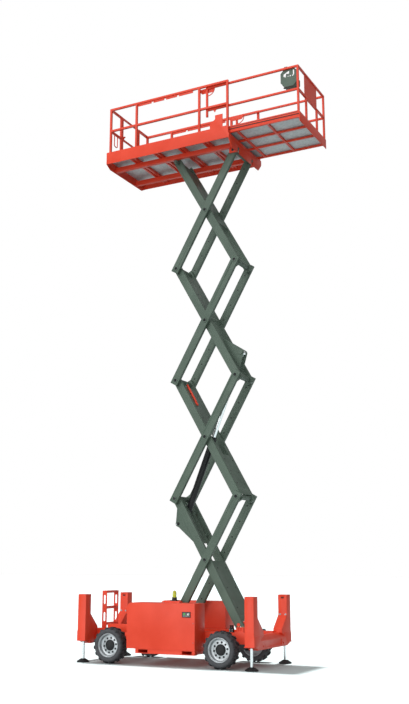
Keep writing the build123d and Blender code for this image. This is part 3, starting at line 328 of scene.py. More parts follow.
def make_lamp():
    """Small lit green lamp."""
    tree, shader, place = start_material("Green lamp", Emission_Strength=0.15, IOR=1.5)
    shader.inputs["Emission Color"].default_value = colours().signal_green
    two_tone(tree, shader, place, colours().signal_green, colours().lens, patch_mm=8, low=0.5, high=1.0)
    uneven_gloss(tree, shader, place, patch_mm=10, low=0.15, high=0.25)


def make_lens():
    """Polycarbonate beacon lens: tinted, half clear, smooth."""
    tree, shader, place = start_material("Beacon polycarbonate", Transmission_Weight=0.45, IOR=1.58)
    two_tone(tree, shader, place, colours().lens, colours().signal_green, patch_mm=60, low=0.55, high=1.2)
    uneven_gloss(tree, shader, place, patch_mm=20, low=0.10, high=0.2)


def make_plating():
    """Zinc plated fasteners and turned brass unions: bright, slightly blotchy."""
    for name, colour in (("Zinc plate", colours().zinc), ("Turned brass", colours().brass)):
        tree, shader, place = start_material(name, Metallic=1.0)
        two_tone(tree, shader, place, colour, colours().silver, patch_mm=18, low=0.35, high=0.9)
        uneven_gloss(tree, shader, place, patch_mm=9, low=0.28, high=0.45)


def make_dark_steel():
    """Blackened steel pins and bolts."""
    tree, shader, place = start_material("Blackened steel", Metallic=0.8)
    two_tone(tree, shader, place, colours().black_paint, colours().zinc, patch_mm=40, low=0.55, high=1.3)
    uneven_gloss(tree, shader, place, patch_mm=20, low=0.35, high=0.5)


SLOT_FINISH = {
    "lift_paint": "Orange-red enamel",
    "arm_paint": "Grey-green enamel",
    "black_paint": "Satin black paint",
    "chrome_rod": "Hard chrome",
    "tyre_rubber": "Tyre rubber",
    "rim_paint": "Silver wheel paint",
    "pad_plastic": "Black pad plastic",
    "floor_sheet": "Galvanised sheet",
    "dark_plastic": "Dark housing plastic",
    "cast_housing": "Satin black paint",
    "beacon_lens": "Beacon polycarbonate",
}


# Mesh tools

def join(bm, part, place=None, finish=0):
    """Add a shaped part to a piece, moved to its place, with the number of its finish."""
    if place is not None:
        bmesh.ops.transform(part, matrix=place, verts=part.verts)
    for face in part.faces:
        face.material_index = finish
    mesh = bpy.data.meshes.new("part")
    part.to_mesh(mesh)
    part.free()
    bm.from_mesh(mesh)
    bpy.data.meshes.remove(mesh)


def round_edges(bm, edge, segments=2, crease=30):
    """Round the sharp edges of a shape."""
    sharp = [
        line for line in bm.edges if len(line.link_faces) == 2 and line.calc_face_angle() > radians(crease)
    ]
    bmesh.ops.bevel(
        bm, geom=sharp, offset=edge, segments=segments, profile=0.5, affect="EDGES", material=-1
    )


def add_block(bm, low, high, edge=0.0, segments=2, place=None, finish=0):
    """Box between two corners, with its edges rounded."""
    low, high = Vector(low), Vector(high)
    part = bmesh.new()
    bmesh.ops.create_cube(part, size=1.0)
    bmesh.ops.scale(part, vec=high - low, verts=part.verts)
    bmesh.ops.translate(part, vec=(low + high) / 2, verts=part.verts)
    if edge:
        round_edges(part, edge, segments)
    join(bm, part, place, finish)


def add_rod(bm, start, end, radius, sides=20, tip=None, finish=0):
    """Round bar between two points; tip is its radius at the end."""
    start, end = Vector(start), Vector(end)
    way = end - start
    part = bmesh.new()
    bmesh.ops.create_cone(
        part,
        cap_ends=True,
        segments=sides,
        radius1=radius,
        radius2=radius if tip is None else tip,
        depth=way.length,
    )
    turn = way.to_track_quat("Z", "Y").to_matrix().to_4x4()
    join(bm, part, Matrix.Translation((start + end) / 2) @ turn, finish)


def add_lathe(bm, profile, centre, axis, steps=48, finish=0):
    """Turned shape from (distance along the axis, radius) points in millimetres."""
    centre, axis = Vector(centre), Vector(axis).normalized()
    out = axis.orthogonal().normalized()
    part = bmesh.new()
    verts = [part.verts.new(centre + (axis * along + out * radius) * MM) for along, radius in profile]
    edges = [part.edges.new(pair) for pair in zip(verts, verts[1:])]
    bmesh.ops.spin(
        part, geom=verts + edges, cent=centre, axis=axis, angle=2 * pi, steps=steps, use_merge=True
    )
    join(bm, part, None, finish)


def ring_points(centre, axis, radius, count, start=0.0):
    """Points evenly spaced round an axis."""
    centre, axis = Vector(centre), Vector(axis).normalized()
    out = axis.orthogonal().normalized() * radius
    return [centre + Matrix.Rotation(start + 2 * pi * i / count, 3, axis) @ out for i in range(count)]


def add_bolt(bm, foot, axis, radius=None, finish=0):
    """Hexagon bolt head on a washer."""
    radius = radius or sizes().bolt
    foot, axis = Vector(foot), Vector(axis).normalized()
    washer, washer_half = 1.35 * radius, 0.2 * radius
    head, head_top = 0.9 * radius, 0.93 * radius
    add_rod(bm, foot - axis * washer_half, foot + axis * washer_half, washer, sides=16, finish=finish)
    add_rod(bm, foot, foot + axis * head, radius, sides=6, tip=head_top, finish=finish)


def finish_piece(name, bm, finishes, body, smooth=38, stands_for=()):
    """Turn a bmesh into a piece with its finishes that rides on a body."""
    bmesh.ops.remove_doubles(bm, verts=bm.verts, dist=0.01 * MM)
    bmesh.ops.recalc_face_normals(bm, faces=bm.faces)
    mesh = bpy.data.meshes.new(name)
    bm.to_mesh(mesh)
    bm.free()
    mesh.polygons.foreach_set("use_smooth", [True] * len(mesh.polygons))
    mesh.set_sharp_from_angle(angle=radians(smooth))
    for finish in finishes:
        mesh.materials.append(bpy.data.materials[finish])
    piece = bpy.data.objects.new(name, mesh)
    bpy.context.scene.collection.objects.link(piece)
    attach(piece, body)
    if stands_for:
        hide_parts(*stands_for)


def soften_node(node, edge, segments=2, crease=40):
    """Rounded copy of a welded node: flat faces joined, sharp edges rounded, then it stands for the node."""
    bm = bmesh.new()
    bm.from_mesh(frame["nodes"][node].data)
    bmesh.ops.remove_doubles(bm, verts=bm.verts, dist=0.02 * MM)
    bmesh.ops.dissolve_limit(bm, angle_limit=radians(0.6), verts=bm.verts, edges=bm.edges)
    sharp = [
        line
        for line in bm.edges
        if len(line.link_faces) == 2
        and line.calc_face_angle() > radians(crease)
        and line.calc_length() > 3 * edge
    ]
    bmesh.ops.bevel(
        bm,
        geom=sharp,
        offset=edge,
        offset_type="OFFSET",
        segments=segments,
        profile=0.5,
        affect="EDGES",
        clamp_overlap=True,
        material=-1,
    )
    slot = node_slot[node]
    finishes = (SLOT_FINISH[slot],)
    finish_piece(f"{node}_steel", bm, finishes, node_body[node], smooth=32, stands_for=(node,))


# Operators

class LIFT_OT_finishes(bpy.types.Operator):
    """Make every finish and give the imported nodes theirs"""

    bl_idname = "lift.finishes"
    bl_label = "Finishes"

    def execute(self, context):
        for make in (
            make_lift_paint, make_arm_paint, make_black_paint, make_chrome, make_rubber, make_silver,
            make_galvanised, make_plastics, make_lamp, make_lens, make_plating, make_dark_steel,
        ):
            make()
        for node, piece in frame["nodes"].items():
            piece.material_slots[0].material = bpy.data.materials[SLOT_FINISH[node_slot[node]]]
        return {"FINISHED"}


class LIFT_OT_steelwork(bpy.types.Operator):
    """Round the edges of the welded and sheet steel nodes"""

    bl_idname = "lift.steelwork"
    bl_label = "Steelwork"

    def execute(self, context):
        edge, tube = sizes().edge, sizes().tube_edge
        for node in ("chassis_frame", "front_outriggers", "rear_outriggers", "ladder", "platform_frame"):
            soften_node(node, edge)
        for hand in ("right", "left"):
            soften_node(f"{hand}_pod_shell", edge)
            soften_node(f"{hand}_pod_door", edge / 2)
            soften_node(f"{hand}_guard_rail", tube)
        for stage in STAGES:
            soften_node(f"inner_arms_{stage}", edge)
            soften_node(f"outer_arms_{stage}", edge)
        for node in ("gate", "deck_frame", "deck_rails"):
            soften_node(node, tube)
        return {"FINISHED"}


def add_tread_lug(bm, wheel, turn, row):
    """Slanted lug: a bar that widens outwards and bends down over the shoulder."""
    size = sizes()
    inner_share, outward_gain = 0.74, 0.40
    bend, bend_start = 50 * MM, 0.55
    top_radius, row_middle, slant = 321.5 * MM, 61.5 * MM, radians(22)
    part = bmesh.new()
    bmesh.ops.create_cube(part, size=1.0)
    bmesh.ops.scale(part, vec=(size.lug_depth, size.lug_width, size.lug_length), verts=part.verts)
    lengthwise = [line for line in part.edges if line.verts[0].co.z * line.verts[1].co.z < 0]
    bmesh.ops.subdivide_edges(part, edges=lengthwise, cuts=3, use_grid_fill=True)
    for vert in part.verts:
        reach = 0.5 + vert.co.z / size.lug_length
        vert.co.y *= inner_share + outward_gain * reach
        vert.co.x -= bend * max(0, reach - bend_start) ** 2
    round_edges(part, 4 * MM)
    bmesh.ops.scale(part, vec=(1, 1, row), verts=part.verts)
    lift = Matrix.Translation((top_radius - size.lug_depth / 2, 0, row * row_middle))
    lean = Matrix.Rotation(row * slant, 4, "X")
    # The lugs take the darker tread colour, painted shade
    join(bm, part, wheel @ Matrix.Rotation(turn, 4, "Z") @ lift @ lean, 1)


class LIFT_OT_wheels(bpy.types.Operator):
    """Tyres with lugs, dished rims, hubs and nuts"""

    bl_idname = "lift.wheels"
    bl_label = "Wheels"

    # Distance from the wheel's middle, outwards, and radius, in millimetres
    carcass = (
        (-100, 214.4), (-113, 219), (-122, 236), (-125, 256), (-121, 277), (-109, 291), (-90, 298),
        (-40, 300.5), (0, 301), (40, 300.5), (90, 298), (109, 291), (121, 277), (125, 256), (122, 236),
        (113, 219), (100, 214.4), (-100, 214.4),
    )
    dish = (
        (104, 213.8), (111, 212), (112, 207), (108, 203), (98, 202), (96, 196), (60, 193), (38, 187),
        (29, 176), (27, 150), (31, 138), (32, 84), (14, 84), (14, 165), (20, 184), (6, 198), (-100, 201),
        (-112, 204), (-112, 212), (-104, 213.8), (104, 213.8),
    )
    hub = (
        (-60, 76), (24, 78), (26, 98), (38, 98), (42, 94), (46, 86), (58, 82), (62, 66), (68, 62), (70, 44),
        (76, 40), (78, 32), (78, 0), (54, 0), (54, 46), (-60, 46), (-60, 76),
    )
    # Wheel nuts: distance from the wheel's middle, radius of their ring, and sizes, in millimetres
    nut_face, nut_ring, nut = 31, 130, 14
    stud, stud_length = 7, 22

    def execute(self, context):
        size = sizes()
        for corner in CORNERS:
            centre = joint_place[f"{corner}_wheel"]
            side = 1 if centre.y > 0 else -1
            out = Vector((0, side, 0))
            wheel = Matrix(((1, 0, 0, 0), (0, 0, side, 0), (0, -side, 0, 0), (0, 0, 0, 1)))
            wheel.translation = centre
            tyre = bmesh.new()
            add_lathe(tyre, self.carcass, centre, out, steps=72)
            for row in (-1, 1):
                for i in range(size.lugs):
                    turn = 2 * pi * (i + (row + 1) / 4) / size.lugs
                    add_tread_lug(tyre, wheel, turn, row)
            body = f"wheel_{corner}"
            finish_piece(
                f"tyre_{corner}_tread", tyre, ("Tyre rubber", "Shaded tread rubber"), body,
                stands_for=(f"tyre_{corner}",),
            )
            rim = bmesh.new()
            add_lathe(rim, self.dish, centre, out, steps=64)
            add_lathe(rim, self.hub, centre, out, steps=32, finish=1)
            for foot in ring_points(centre + out * self.nut_face * MM, out, self.nut_ring * MM, size.nuts):
                add_bolt(rim, foot, out, self.nut * MM, finish=1)
                stud_end = foot + out * self.stud_length * MM
                add_rod(rim, foot, stud_end, self.stud * MM, sides=12, finish=1)
            finish_piece(
                f"rim_{corner}_dish", rim, ("Silver wheel paint", "Satin black paint"), body,
                stands_for=(f"rim_{corner}",),
            )
        return {"FINISHED"}


class LIFT_OT_jacks(bpy.types.Operator):
    """Domed pads with ribs, and wiper rings under the posts"""

    bl_idname = "lift.jacks"
    bl_label = "Jacks"

    # Height and radius in millimetres
    dome = (
        (0, 0), (0, 103), (4, 114), (11, 119.5), (20, 119.5), (26, 114), (32, 98), (42, 76), (52, 60),
        (60, 53), (65, 48), (65, 25.4), (30, 25.4), (30, 0),
    )
    wiper = ((0, 26), (-4, 40), (-14, 42), (-14, 26.5), (-6, 26), (0, 26))
    post_foot = 386
    # Ribs on a dome: their box, middle and slope
    ribs = 10
    rib_low, rib_high = (-31, -4, -14), (33, 4, 8)
    rib_middle, rib_slope = (80, 0, 36), radians(31)

    def execute(self, context):
        rib = Matrix.Translation(Vector(self.rib_middle) * MM) @ Matrix.Rotation(self.rib_slope, 4, "Y")
        rib_low, rib_high = Vector(self.rib_low) * MM, Vector(self.rib_high) * MM
        for corner in CORNERS:
            low, high = node_box(f"jack_pad_{corner}")
            centre = Vector(((low.x + high.x) / 2, (low.y + high.y) / 2, 0))
            pad = bmesh.new()
            add_lathe(pad, self.dome, centre, UP, steps=48)
            for i in range(self.ribs):
                turn = Matrix.Translation(centre) @ Matrix.Rotation(2 * pi * i / self.ribs, 4, "Z")
                add_block(pad, rib_low, rib_high, edge=2 * MM, segments=1, place=turn @ rib)
            finish_piece(
                f"jack_pad_{corner}_dome", pad, ("Black pad plastic",), f"jack_{corner}",
                stands_for=(f"jack_pad_{corner}",),
            )
            wiper = bmesh.new()
            foot = Vector((centre.x, centre.y, self.post_foot * MM))
            add_lathe(wiper, self.wiper, foot, UP, steps=32)
            finish_piece(f"jack_wiper_{corner}", wiper, ("Satin black paint",), "chassis")
        return {"FINISHED"}


class LIFT_OT_outriggers(bpy.types.Operator):
    """Bolts, black blocks as painted shade in the posts' slots, and tread strips on the ladder's rungs"""

    bl_idname = "lift.outriggers"
    bl_label = "Outriggers"

    # Millimetres, x from the middle between the axles: a black block in a post's slot, as painted shade, and
    # its two bolts
    slot, slot_half = (1736, 657, 1178), (28, 4, 10)
    bolt_places, bolt_y, bolt_z = (1687, 1794), 656, 877
    # Tread strips on the rungs: the rungs' heights, the strips' ends, and bars across each strip
    rungs = (664, 968, 1263)
    strip_back, strip_front, strip_half = -1680, -1592, 192
    strip_low, strip_high = 19, 23
    bars, bar_inset, bar_pitch, bar_width, bar_half = 9, 2, 10, 4, 190
    bar_low, bar_high = 22, 25

    def execute(self, context):
        bolts = bmesh.new()
        half = Vector(self.slot_half) * MM
        for end in (-1, 1):
            for side in (-1, 1):
                middle = at(end * self.slot[0], side * self.slot[1], self.slot[2])
                # Black block that stands for the shadow in the slot: painted shade
                add_block(bolts, middle - half, middle + half, edge=3.5 * MM, finish=1)
                for x in self.bolt_places:
                    foot = at(end * x, side * self.bolt_y, self.bolt_z)
                    add_bolt(bolts, foot, (0, -side, 0), radius=15 * MM)
        finish_piece("outrigger_bolts", bolts, ("Zinc plate", "Black pad plastic"), "chassis")
        strips = bmesh.new()
        for z in self.rungs:
            low = at(self.strip_back, -self.strip_half, z + self.strip_low)
            high = at(self.strip_front, self.strip_half, z + self.strip_high)
            add_block(strips, low, high, edge=1.5 * MM, segments=1)
            for i in range(self.bars):
                x = self.strip_back + self.bar_inset + i * self.bar_pitch
                low = at(x, -self.bar_half, z + self.bar_low)
                high = at(x + self.bar_width, self.bar_half, z + self.bar_high)
                add_block(strips, low, high, edge=1 * MM, segments=1)
        finish_piece("ladder_treads", strips, ("Orange-red enamel",), "chassis")
        return {"FINISHED"}


class LIFT_OT_pods(bpy.types.Operator):
    """Door locks, ground controls and the beacon"""

    bl_idname = "lift.pods"
    bl_label = "Pods"

    # Turned shapes: distance out of the face and radius, in millimetres
    lock = ((-3, 24), (3, 24), (5, 22), (5, 15), (3, 13), (3, 0), (-3, 0))
    lamp = ((0, 17), (6, 17), (8, 15), (16, 12), (19, 0))
    knob = ((0, 20), (5, 20), (6, 15), (18, 14), (20, 11), (20, 0))
    switch = ((0, 6), (4, 6), (5, 3), (14, 3.5), (15, 0))
    # Door locks: x from the middle between the axles, distance across, and heights
    lock_x, lock_y, lock_heights = 636, 810, (430, 760)
    # The bar that turns a lock: half its size along the door, and where it starts and ends
    key_half, key_reach = (3, 0, 12), (2, 8)
    # Ground controls, from the lower left corner: plate, bars of its frame, and what they carry
    plate = (8, 8, 158, 86)
    bars = ((0, 0, 166, 9), (0, 85, 166, 94), (0, 0, 9, 94), (157, 0, 166, 94))
    plate_rise, bar_rise, root = 2, 7, 2
    lamp_place, knob_place = (46, 56), (124, 50)
    switch_places = ((30, 22), (62, 22), (94, 22))
    # Beacon: rings round the lens, by turns wide and narrow, and the bolts of its base
    rings, ring_start, ring_pitch, ring_radii = 14, 8, 5, (37.8, 36.4)
    base_top, base_bolt = 1140, 48

    def execute(self, context):
        self.add_locks()
        self.add_ground_controls()
        self.add_beacon()
        return {"FINISHED"}

    def add_locks(self):
        half = Vector(self.key_half) * MM
        key_in, key_out = (reach * MM for reach in self.key_reach)
        for side, hand in ((-1, "right"), (1, "left")):
            out = Vector((0, side, 0))
            locks = bmesh.new()
            for z in self.lock_heights:
                foot = at(self.lock_x, side * self.lock_y, z)
                add_lathe(locks, self.lock, foot, out, steps=32)
                low, high = foot - half + out * key_in, foot + half + out * key_out
                add_block(locks, low, high, edge=1.5 * MM, segments=1, finish=1)
            finishes = ("Orange-red enamel", "Zinc plate")
            finish_piece(f"{hand}_door_locks", locks, finishes, f"{hand}_door")

    def add_ground_controls(self):
        corner = node_box("ground_controls")[0]
        panel = bmesh.new()
        boxes = [(self.plate, self.plate_rise, 0)] + [(bar, self.bar_rise, 1) for bar in self.bars]
        for (left, bottom, right, top), rise, finish in boxes:
            low = corner + Vector((left, -rise, bottom)) * MM
            high = corner + Vector((right, self.root, top)) * MM
            add_block(panel, low, high, edge=1.5 * MM, segments=1, finish=finish)
        turned = [(self.lamp, self.lamp_place, 24, 2), (self.knob, self.knob_place, 24, 3)]
        turned += [(self.switch, switch_place, 12, 4) for switch_place in self.switch_places]
        for profile, (x, z), steps, finish in turned:
            foot = corner + Vector((x, 0, z)) * MM
            add_lathe(panel, profile, foot, RIGHT, steps=steps, finish=finish)
        finish_piece(
            "ground_controls_face",
            panel,
            ("Grey panel plastic", "Dark housing plastic", "Green lamp", "Pale plastic", "Zinc plate"),
            node_body["ground_controls"],
        )

    def add_beacon(self):
        low, high = node_box("beacon_lens")
        foot = Vector(((low.x + high.x) / 2, (low.y + high.y) / 2, low.z))
        tall = (high.z - low.z) / MM
        rings = [(self.ring_start + self.ring_pitch * i, self.ring_radii[i % 2]) for i in range(self.rings)]
        crown = ((tall - 36, 35), (tall - 20, 30), (tall - 6, 17), (tall, 0))
        lens = bmesh.new()
        add_lathe(lens, ((0, 0), (0, 38), (6, 38), *rings, *crown), foot, UP, steps=40)
        finish_piece(
            "beacon_lens_ribs", lens, ("Beacon polycarbonate",), node_body["beacon_lens"],
            stands_for=("beacon_lens",),
        )
        bolts = bmesh.new()
        for x in (-self.base_bolt, self.base_bolt):
            for y in (-self.base_bolt, self.base_bolt):
                spot = Vector((foot.x + x * MM, foot.y + y * MM, self.base_top * MM))
                add_bolt(bolts, spot, UP, radius=6 * MM)
        finish_piece("beacon_bolts", bolts, ("Zinc plate",), node_body["beacon_base"])


def arm_place(kind, stage):
    """Frame of an arm pair: x along it from its foot, z out of its upper side, y across."""
    foot, centre = joint_place["scissor_lift"], joint_place["stage_1_centre"]
    half = centre - foot
    along = half.normalized()
    if kind == "outer":
        along = Vector((-along.x, 0, along.z))
    upper = Vector((along.z, 0, -along.x)) if along.x < 0 else Vector((-along.z, 0, along.x))
    across = upper.cross(along)
    place = Matrix((along, across, upper)).transposed().to_4x4()
    place.translation = joint_place[f"stage_{stage}_centre"] - along * half.length
    return place, 2 * half.length


def add_arm_block(bm, place, low, high, edge, finish=0):
    """Box in an arm pair's frame, its corners and edge round in millimetres."""
    add_block(bm, Vector(low) * MM, Vector(high) * MM, edge * MM, place=place, finish=finish)


class LIFT_OT_scissor(bpy.types.Operator):
    """Pins, plugs, pipes and plates on the scissor arms, safety prop, and the lift cylinder's fittings"""

    bl_idname = "lift.scissor"
    bl_label = "Scissor"

    # Turned shapes: distance along the axis and radius, in millimetres
    pin_end = ((-2, 0), (-2, 30), (0.6, 30), (1.6, 28), (1.6, 10), (0.6, 8), (0.6, 0))
    plug = ((-2, 0), (-2, 14), (1.5, 14), (2.5, 11), (2.5, 0))
    gland = ((1690, 60), (1692, 64.5), (1776, 64.5), (1784, 60), (1784, 36.5), (1690, 36.5), (1690, 60))
    weld_ring = ((70, 60), (76, 65), (90, 65), (96, 60), (70, 60))
    # Distances across from the middle: inner faces of the arms, and the ends of the pins
    inner_arm_y, outer_arm_y = 220, 297
    pin_y, top_pin_y, centre_pin_y = 370, 391, 370.3
    plugs, plug_pitch = 8, 330
    # Pipes: place across, half their spacing, radius, and gap to the arm's ends; then their clamps
    pipe_y, pipe_w, pipe_r, pipe_gap = 207, 14, 8, 360
    clamps, clamp_gap = 6, 420
    clamp_low, clamp_high = (-20, 196, -28), (20, 221, 28)
    # Plates that carry each stage's webs on: start, end, and half the gap left for the lift cylinder
    web_ends = {
        1: ((30, 162, 0), (2440, 2575, 130)),
        2: ((20, 162, 0), (890, 1120, 130)),
        3: ((1290, 1410, 0),),
        4: (),
    }
    web_low, web_high, web_face = 66, 77.5, 78
    # Bolts along each stage's webs, and their distance across
    web_bolts = {
        1: (300, 700, 1100),
        2: (260, 520, 780, 1720, 2300),
        3: (1650, 1950, 2250),
        4: (1200, 1600, 2000),
    }
    web_bolt_y = 170
    # Cheeks beside the lift cylinder: pin from the arm's head and below its middle line, and outline
    cheek_pin_gap, cheek_pin_drop, cheek_nose = 430, 196, 58
    cheek_toe, cheek_heel, cheek_top, cheek_bottom = 510, 290, -20, -60
    cheek_y, cheek_thick, cheek_bolt = 282, 18, (12, 0, -38)
    # Safety prop: lowest corner, highest corner, edge round and finish of its bar, hinge and fork
    prop_boxes = (
        ((2090, 118, 80), (2538, 152, 112), 4, 0),
        ((2010, 112, 78), (2096, 126, 104), 3, 0),
        ((2010, 146, 78), (2096, 158, 104), 3, 0),
        ((2490, 110, 77), (2540, 118, 118), 3, 1),
        ((2490, 152, 77), (2540, 160, 118), 3, 1),
    )

    def execute(self, context):
        for stage in STAGES:
            self.add_pins(stage)
            self.add_pipes(stage)
        for stage in STAGES:
            self.add_webs(stage)
        self.add_cheeks()
        self.add_prop()
        self.add_cylinder_fittings()
        return {"FINISHED"}

    def add_pins(self, stage):
        place, length = arm_place("outer", stage)
        pins, plugs = bmesh.new(), bmesh.new()
        ends = [(0, self.pin_y)] if stage > 1 else []
        ends.append((length, self.top_pin_y if stage == STAGES[-1] else self.pin_y))
        for side in (-1, 1):
            way = place.to_3x3() @ Vector((0, side, 0))
            for u, y in ends:
                add_lathe(pins, self.pin_end, place @ Vector((u, side * y * MM, 0)), way, steps=24)
            for i in range(self.plugs):
                u = length / 2 + (i - (self.plugs - 1) / 2) * self.plug_pitch * MM
                spot = place @ Vector((u, side * self.outer_arm_y * MM, 0))
                add_lathe(plugs, self.plug, spot, -way, steps=16)
        body = f"outer_{stage}"
        finish_piece(f"outer_pins_{stage}", pins, ("Blackened steel",), body)
        finish_piece(f"outer_plugs_{stage}", plugs, ("Black pad plastic",), body)

        place, length = arm_place("inner", stage)
        pins = bmesh.new()
        for side in (-1, 1):
            way = place.to_3x3() @ Vector((0, side, 0))
            spot = place @ Vector((length / 2, side * self.centre_pin_y * MM, 0))
            add_lathe(pins, self.pin_end, spot, way, steps=24)
        finish_piece(f"inner_pins_{stage}", pins, ("Blackened steel",), f"inner_{stage}")

    def add_pipes(self, stage):
        place, length = arm_place("inner", stage)
        length /= MM
        pipes = bmesh.new()
        for w in (-self.pipe_w, self.pipe_w):
            ends = (self.pipe_gap, length - self.pipe_gap)
            start, end = (place @ (Vector((u, self.pipe_y, w)) * MM) for u in ends)
            add_rod(pipes, start, end, self.pipe_r * MM, sides=12)
        low, high = Vector(self.clamp_low), Vector(self.clamp_high)
        for i in range(self.clamps):
            u = self.clamp_gap + i * (length - 2 * self.clamp_gap) / (self.clamps - 1)
            middle = Vector((u, 0, 0))
            corners = (middle + low) * MM, (middle + high) * MM
            add_block(pipes, *corners, edge=3 * MM, segments=1, place=place, finish=1)
            foot = place @ (Vector((u, low.y, 0)) * MM)
            add_bolt(pipes, foot, place.to_3x3() @ RIGHT, radius=5 * MM, finish=1)
        finishes = ("Satin black paint", "Zinc plate")
        finish_piece(f"arm_pipes_{stage}", pipes, finishes, f"inner_{stage}")

    def add_webs(self, stage):
        place = arm_place("inner", stage)[0]
        web = bmesh.new()
        for start, end, gap in self.web_ends[stage]:
            for low_y, high_y in ((-self.inner_arm_y, -gap), (gap, self.inner_arm_y)):
                add_arm_block(web, place, (start, low_y, self.web_low), (end, high_y, self.web_high), 3)
        for u in self.web_bolts[stage]:
            for y in (-self.web_bolt_y, self.web_bolt_y):
                foot = place @ (Vector((u, y, self.web_face)) * MM)
                add_bolt(web, foot, place.to_3x3() @ UP, radius=8 * MM, finish=1)
        finishes = ("Grey-green enamel", "Blackened steel")
        finish_piece(f"web_ends_{stage}", web, finishes, f"inner_{stage}")

    def add_cheeks(self):
        place, length = arm_place("inner", 1)
        pin_u, pin_w = length / MM - self.cheek_pin_gap, -self.cheek_pin_drop
        toe, heel = pin_u - self.cheek_toe, pin_u + self.cheek_heel
        outline = [(toe, self.cheek_bottom), (toe, self.cheek_top)]
        outline += [(heel, self.cheek_top), (heel, self.cheek_bottom)]
        for degrees in range(-30, -151, -20):
            angle = radians(degrees)
            outline.append((pin_u + self.cheek_nose * cos(angle), pin_w + self.cheek_nose * sin(angle)))
        cheeks = bmesh.new()
        for y in (-self.cheek_y, self.cheek_y - self.cheek_thick):
            part = bmesh.new()
            face = part.faces.new([part.verts.new(Vector((u, y, w)) * MM) for u, w in outline])
            grown = bmesh.ops.extrude_face_region(part, geom=[face])["geom"]
            corners = [item for item in grown if isinstance(item, bmesh.types.BMVert)]
            bmesh.ops.translate(part, vec=Vector((0, self.cheek_thick, 0)) * MM, verts=corners)
            bmesh.ops.recalc_face_normals(part, faces=part.faces)
            round_edges(part, 3 * MM, crease=50)
            join(cheeks, part, place)
        for side in (-1, 1):
            way = place.to_3x3() @ Vector((0, side, 0))
            pin = Vector((pin_u, side * self.cheek_y, pin_w))
            add_lathe(cheeks, self.pin_end, place @ (pin * MM), way, steps=24, finish=1)
            bolt = pin + Vector(self.cheek_bolt)
            add_bolt(cheeks, place @ (bolt * MM), way, radius=9 * MM, finish=2)
        finishes = ("Grey-green enamel", "Blackened steel", "Zinc plate")
        finish_piece("lift_cheeks", cheeks, finishes, "inner_1")

    def add_prop(self):
        place = arm_place("inner", 2)[0]
        prop = bmesh.new()
        for low, high, edge, finish in self.prop_boxes:
            add_arm_block(prop, place, low, high, edge, finish)
        finish_piece(
            "safety_prop_bar", prop, ("Orange-red enamel", "Grey-green enamel"), "inner_2",
            stands_for=("safety_prop",),
        )

    def add_cylinder_fittings(self):
        foot = joint_place["barrel_pivot"]
        way = next(Vector(joint["axis"]) for joint in frame["joints"] if joint["name"] == "lift_stroke")
        fittings = bmesh.new()
        for profile in (self.gland, self.weld_ring):
            add_lathe(fittings, profile, foot, way, steps=48)
        finish_piece("barrel_fittings", fittings, ("Satin black paint",), "lift_barrel")


class LIFT_OT_fittings(bpy.types.Operator):
    """Hose unions on the rail block and nuts on the valve block"""

    bl_idname = "lift.fittings"
    bl_label = "Fittings"

    # Height above the face and radius, in millimetres
    cap = ((-2, 0), (-2, 11), (6, 11), (7, 8), (14, 8), (16, 10), (22, 10), (23, 0))
    # Unions: x from the middle between the axles with the finish, distance across, and height
    unions, union_y, union_z = ((1304, 1), (1346, 0), (1388, 1)), -340, 690
    # Valve block: bottom, radius and height of the nuts, heights of the bolts, and insets from its ends
    nuts, nut_inset = ((662, 20, 16), (702, 18, 14)), 18
    bolt_heights, bolt_inset = (620, 645), 14

    def execute(self, context):
        unions = bmesh.new()
        for x, finish in self.unions:
            foot = at(x, self.union_y, self.union_z)
            add_lathe(unions, self.cap, foot, UP, steps=20, finish=finish)
        finish_piece("rail_block_unions", unions, ("Pale plastic", "Turned brass"), "chassis")
        low, high = node_box("valve_block")
        nuts = bmesh.new()
        for x in (low.x + self.nut_inset * MM, high.x - self.nut_inset * MM):
            for bottom, radius, height in self.nuts:
                foot = Vector((x, (low.y + high.y) / 2, bottom * MM))
                add_rod(nuts, foot, foot + UP * height * MM, radius * MM, sides=6)
        for z in self.bolt_heights:
            for x in (low.x + self.bolt_inset * MM, high.x - self.bolt_inset * MM):
                add_bolt(nuts, Vector((x, low.y, z * MM)), RIGHT, radius=7 * MM, finish=1)
        finish_piece("valve_nuts", nuts, ("Satin black paint", "Zinc plate"), "chassis")
        return {"FINISHED"}


def add_floor_tread(name, low, high, gaps, top, body):
    """Rows of small raised bars, turned by turns, as on chequered sheet."""
    bar, crown_share = Vector((30, 8, 4)) * MM, (0.6, 0.4, 1)
    pitch = sizes().tread_pitch
    end_gap, side_gap = (gap * MM for gap in gaps)
    low_x, high_x, half_width = low.x + end_gap, high.x - end_gap, high.y - side_gap
    bm = bmesh.new()
    rows, lines = int((high_x - low_x) / pitch), int(2 * half_width / pitch)
    for i in range(rows):
        for j in range(lines):
            part = bmesh.new()
            bmesh.ops.create_cube(part, size=1.0)
            bmesh.ops.scale(part, vec=bar, verts=part.verts)
            crown = [vert for vert in part.verts if vert.co.z > 0]
            bmesh.ops.scale(part, vec=crown_share, verts=crown)
            turn = Matrix.Rotation(radians(45 if (i + j) % 2 else -45), 4, "Z")
            spot = Vector((low_x + (i + 0.5) * pitch, (j + 0.5) * pitch - lines * pitch / 2, top))
            join(bm, part, Matrix.Translation(spot) @ turn)
    finish_piece(name, bm, ("Galvanised sheet",), body)


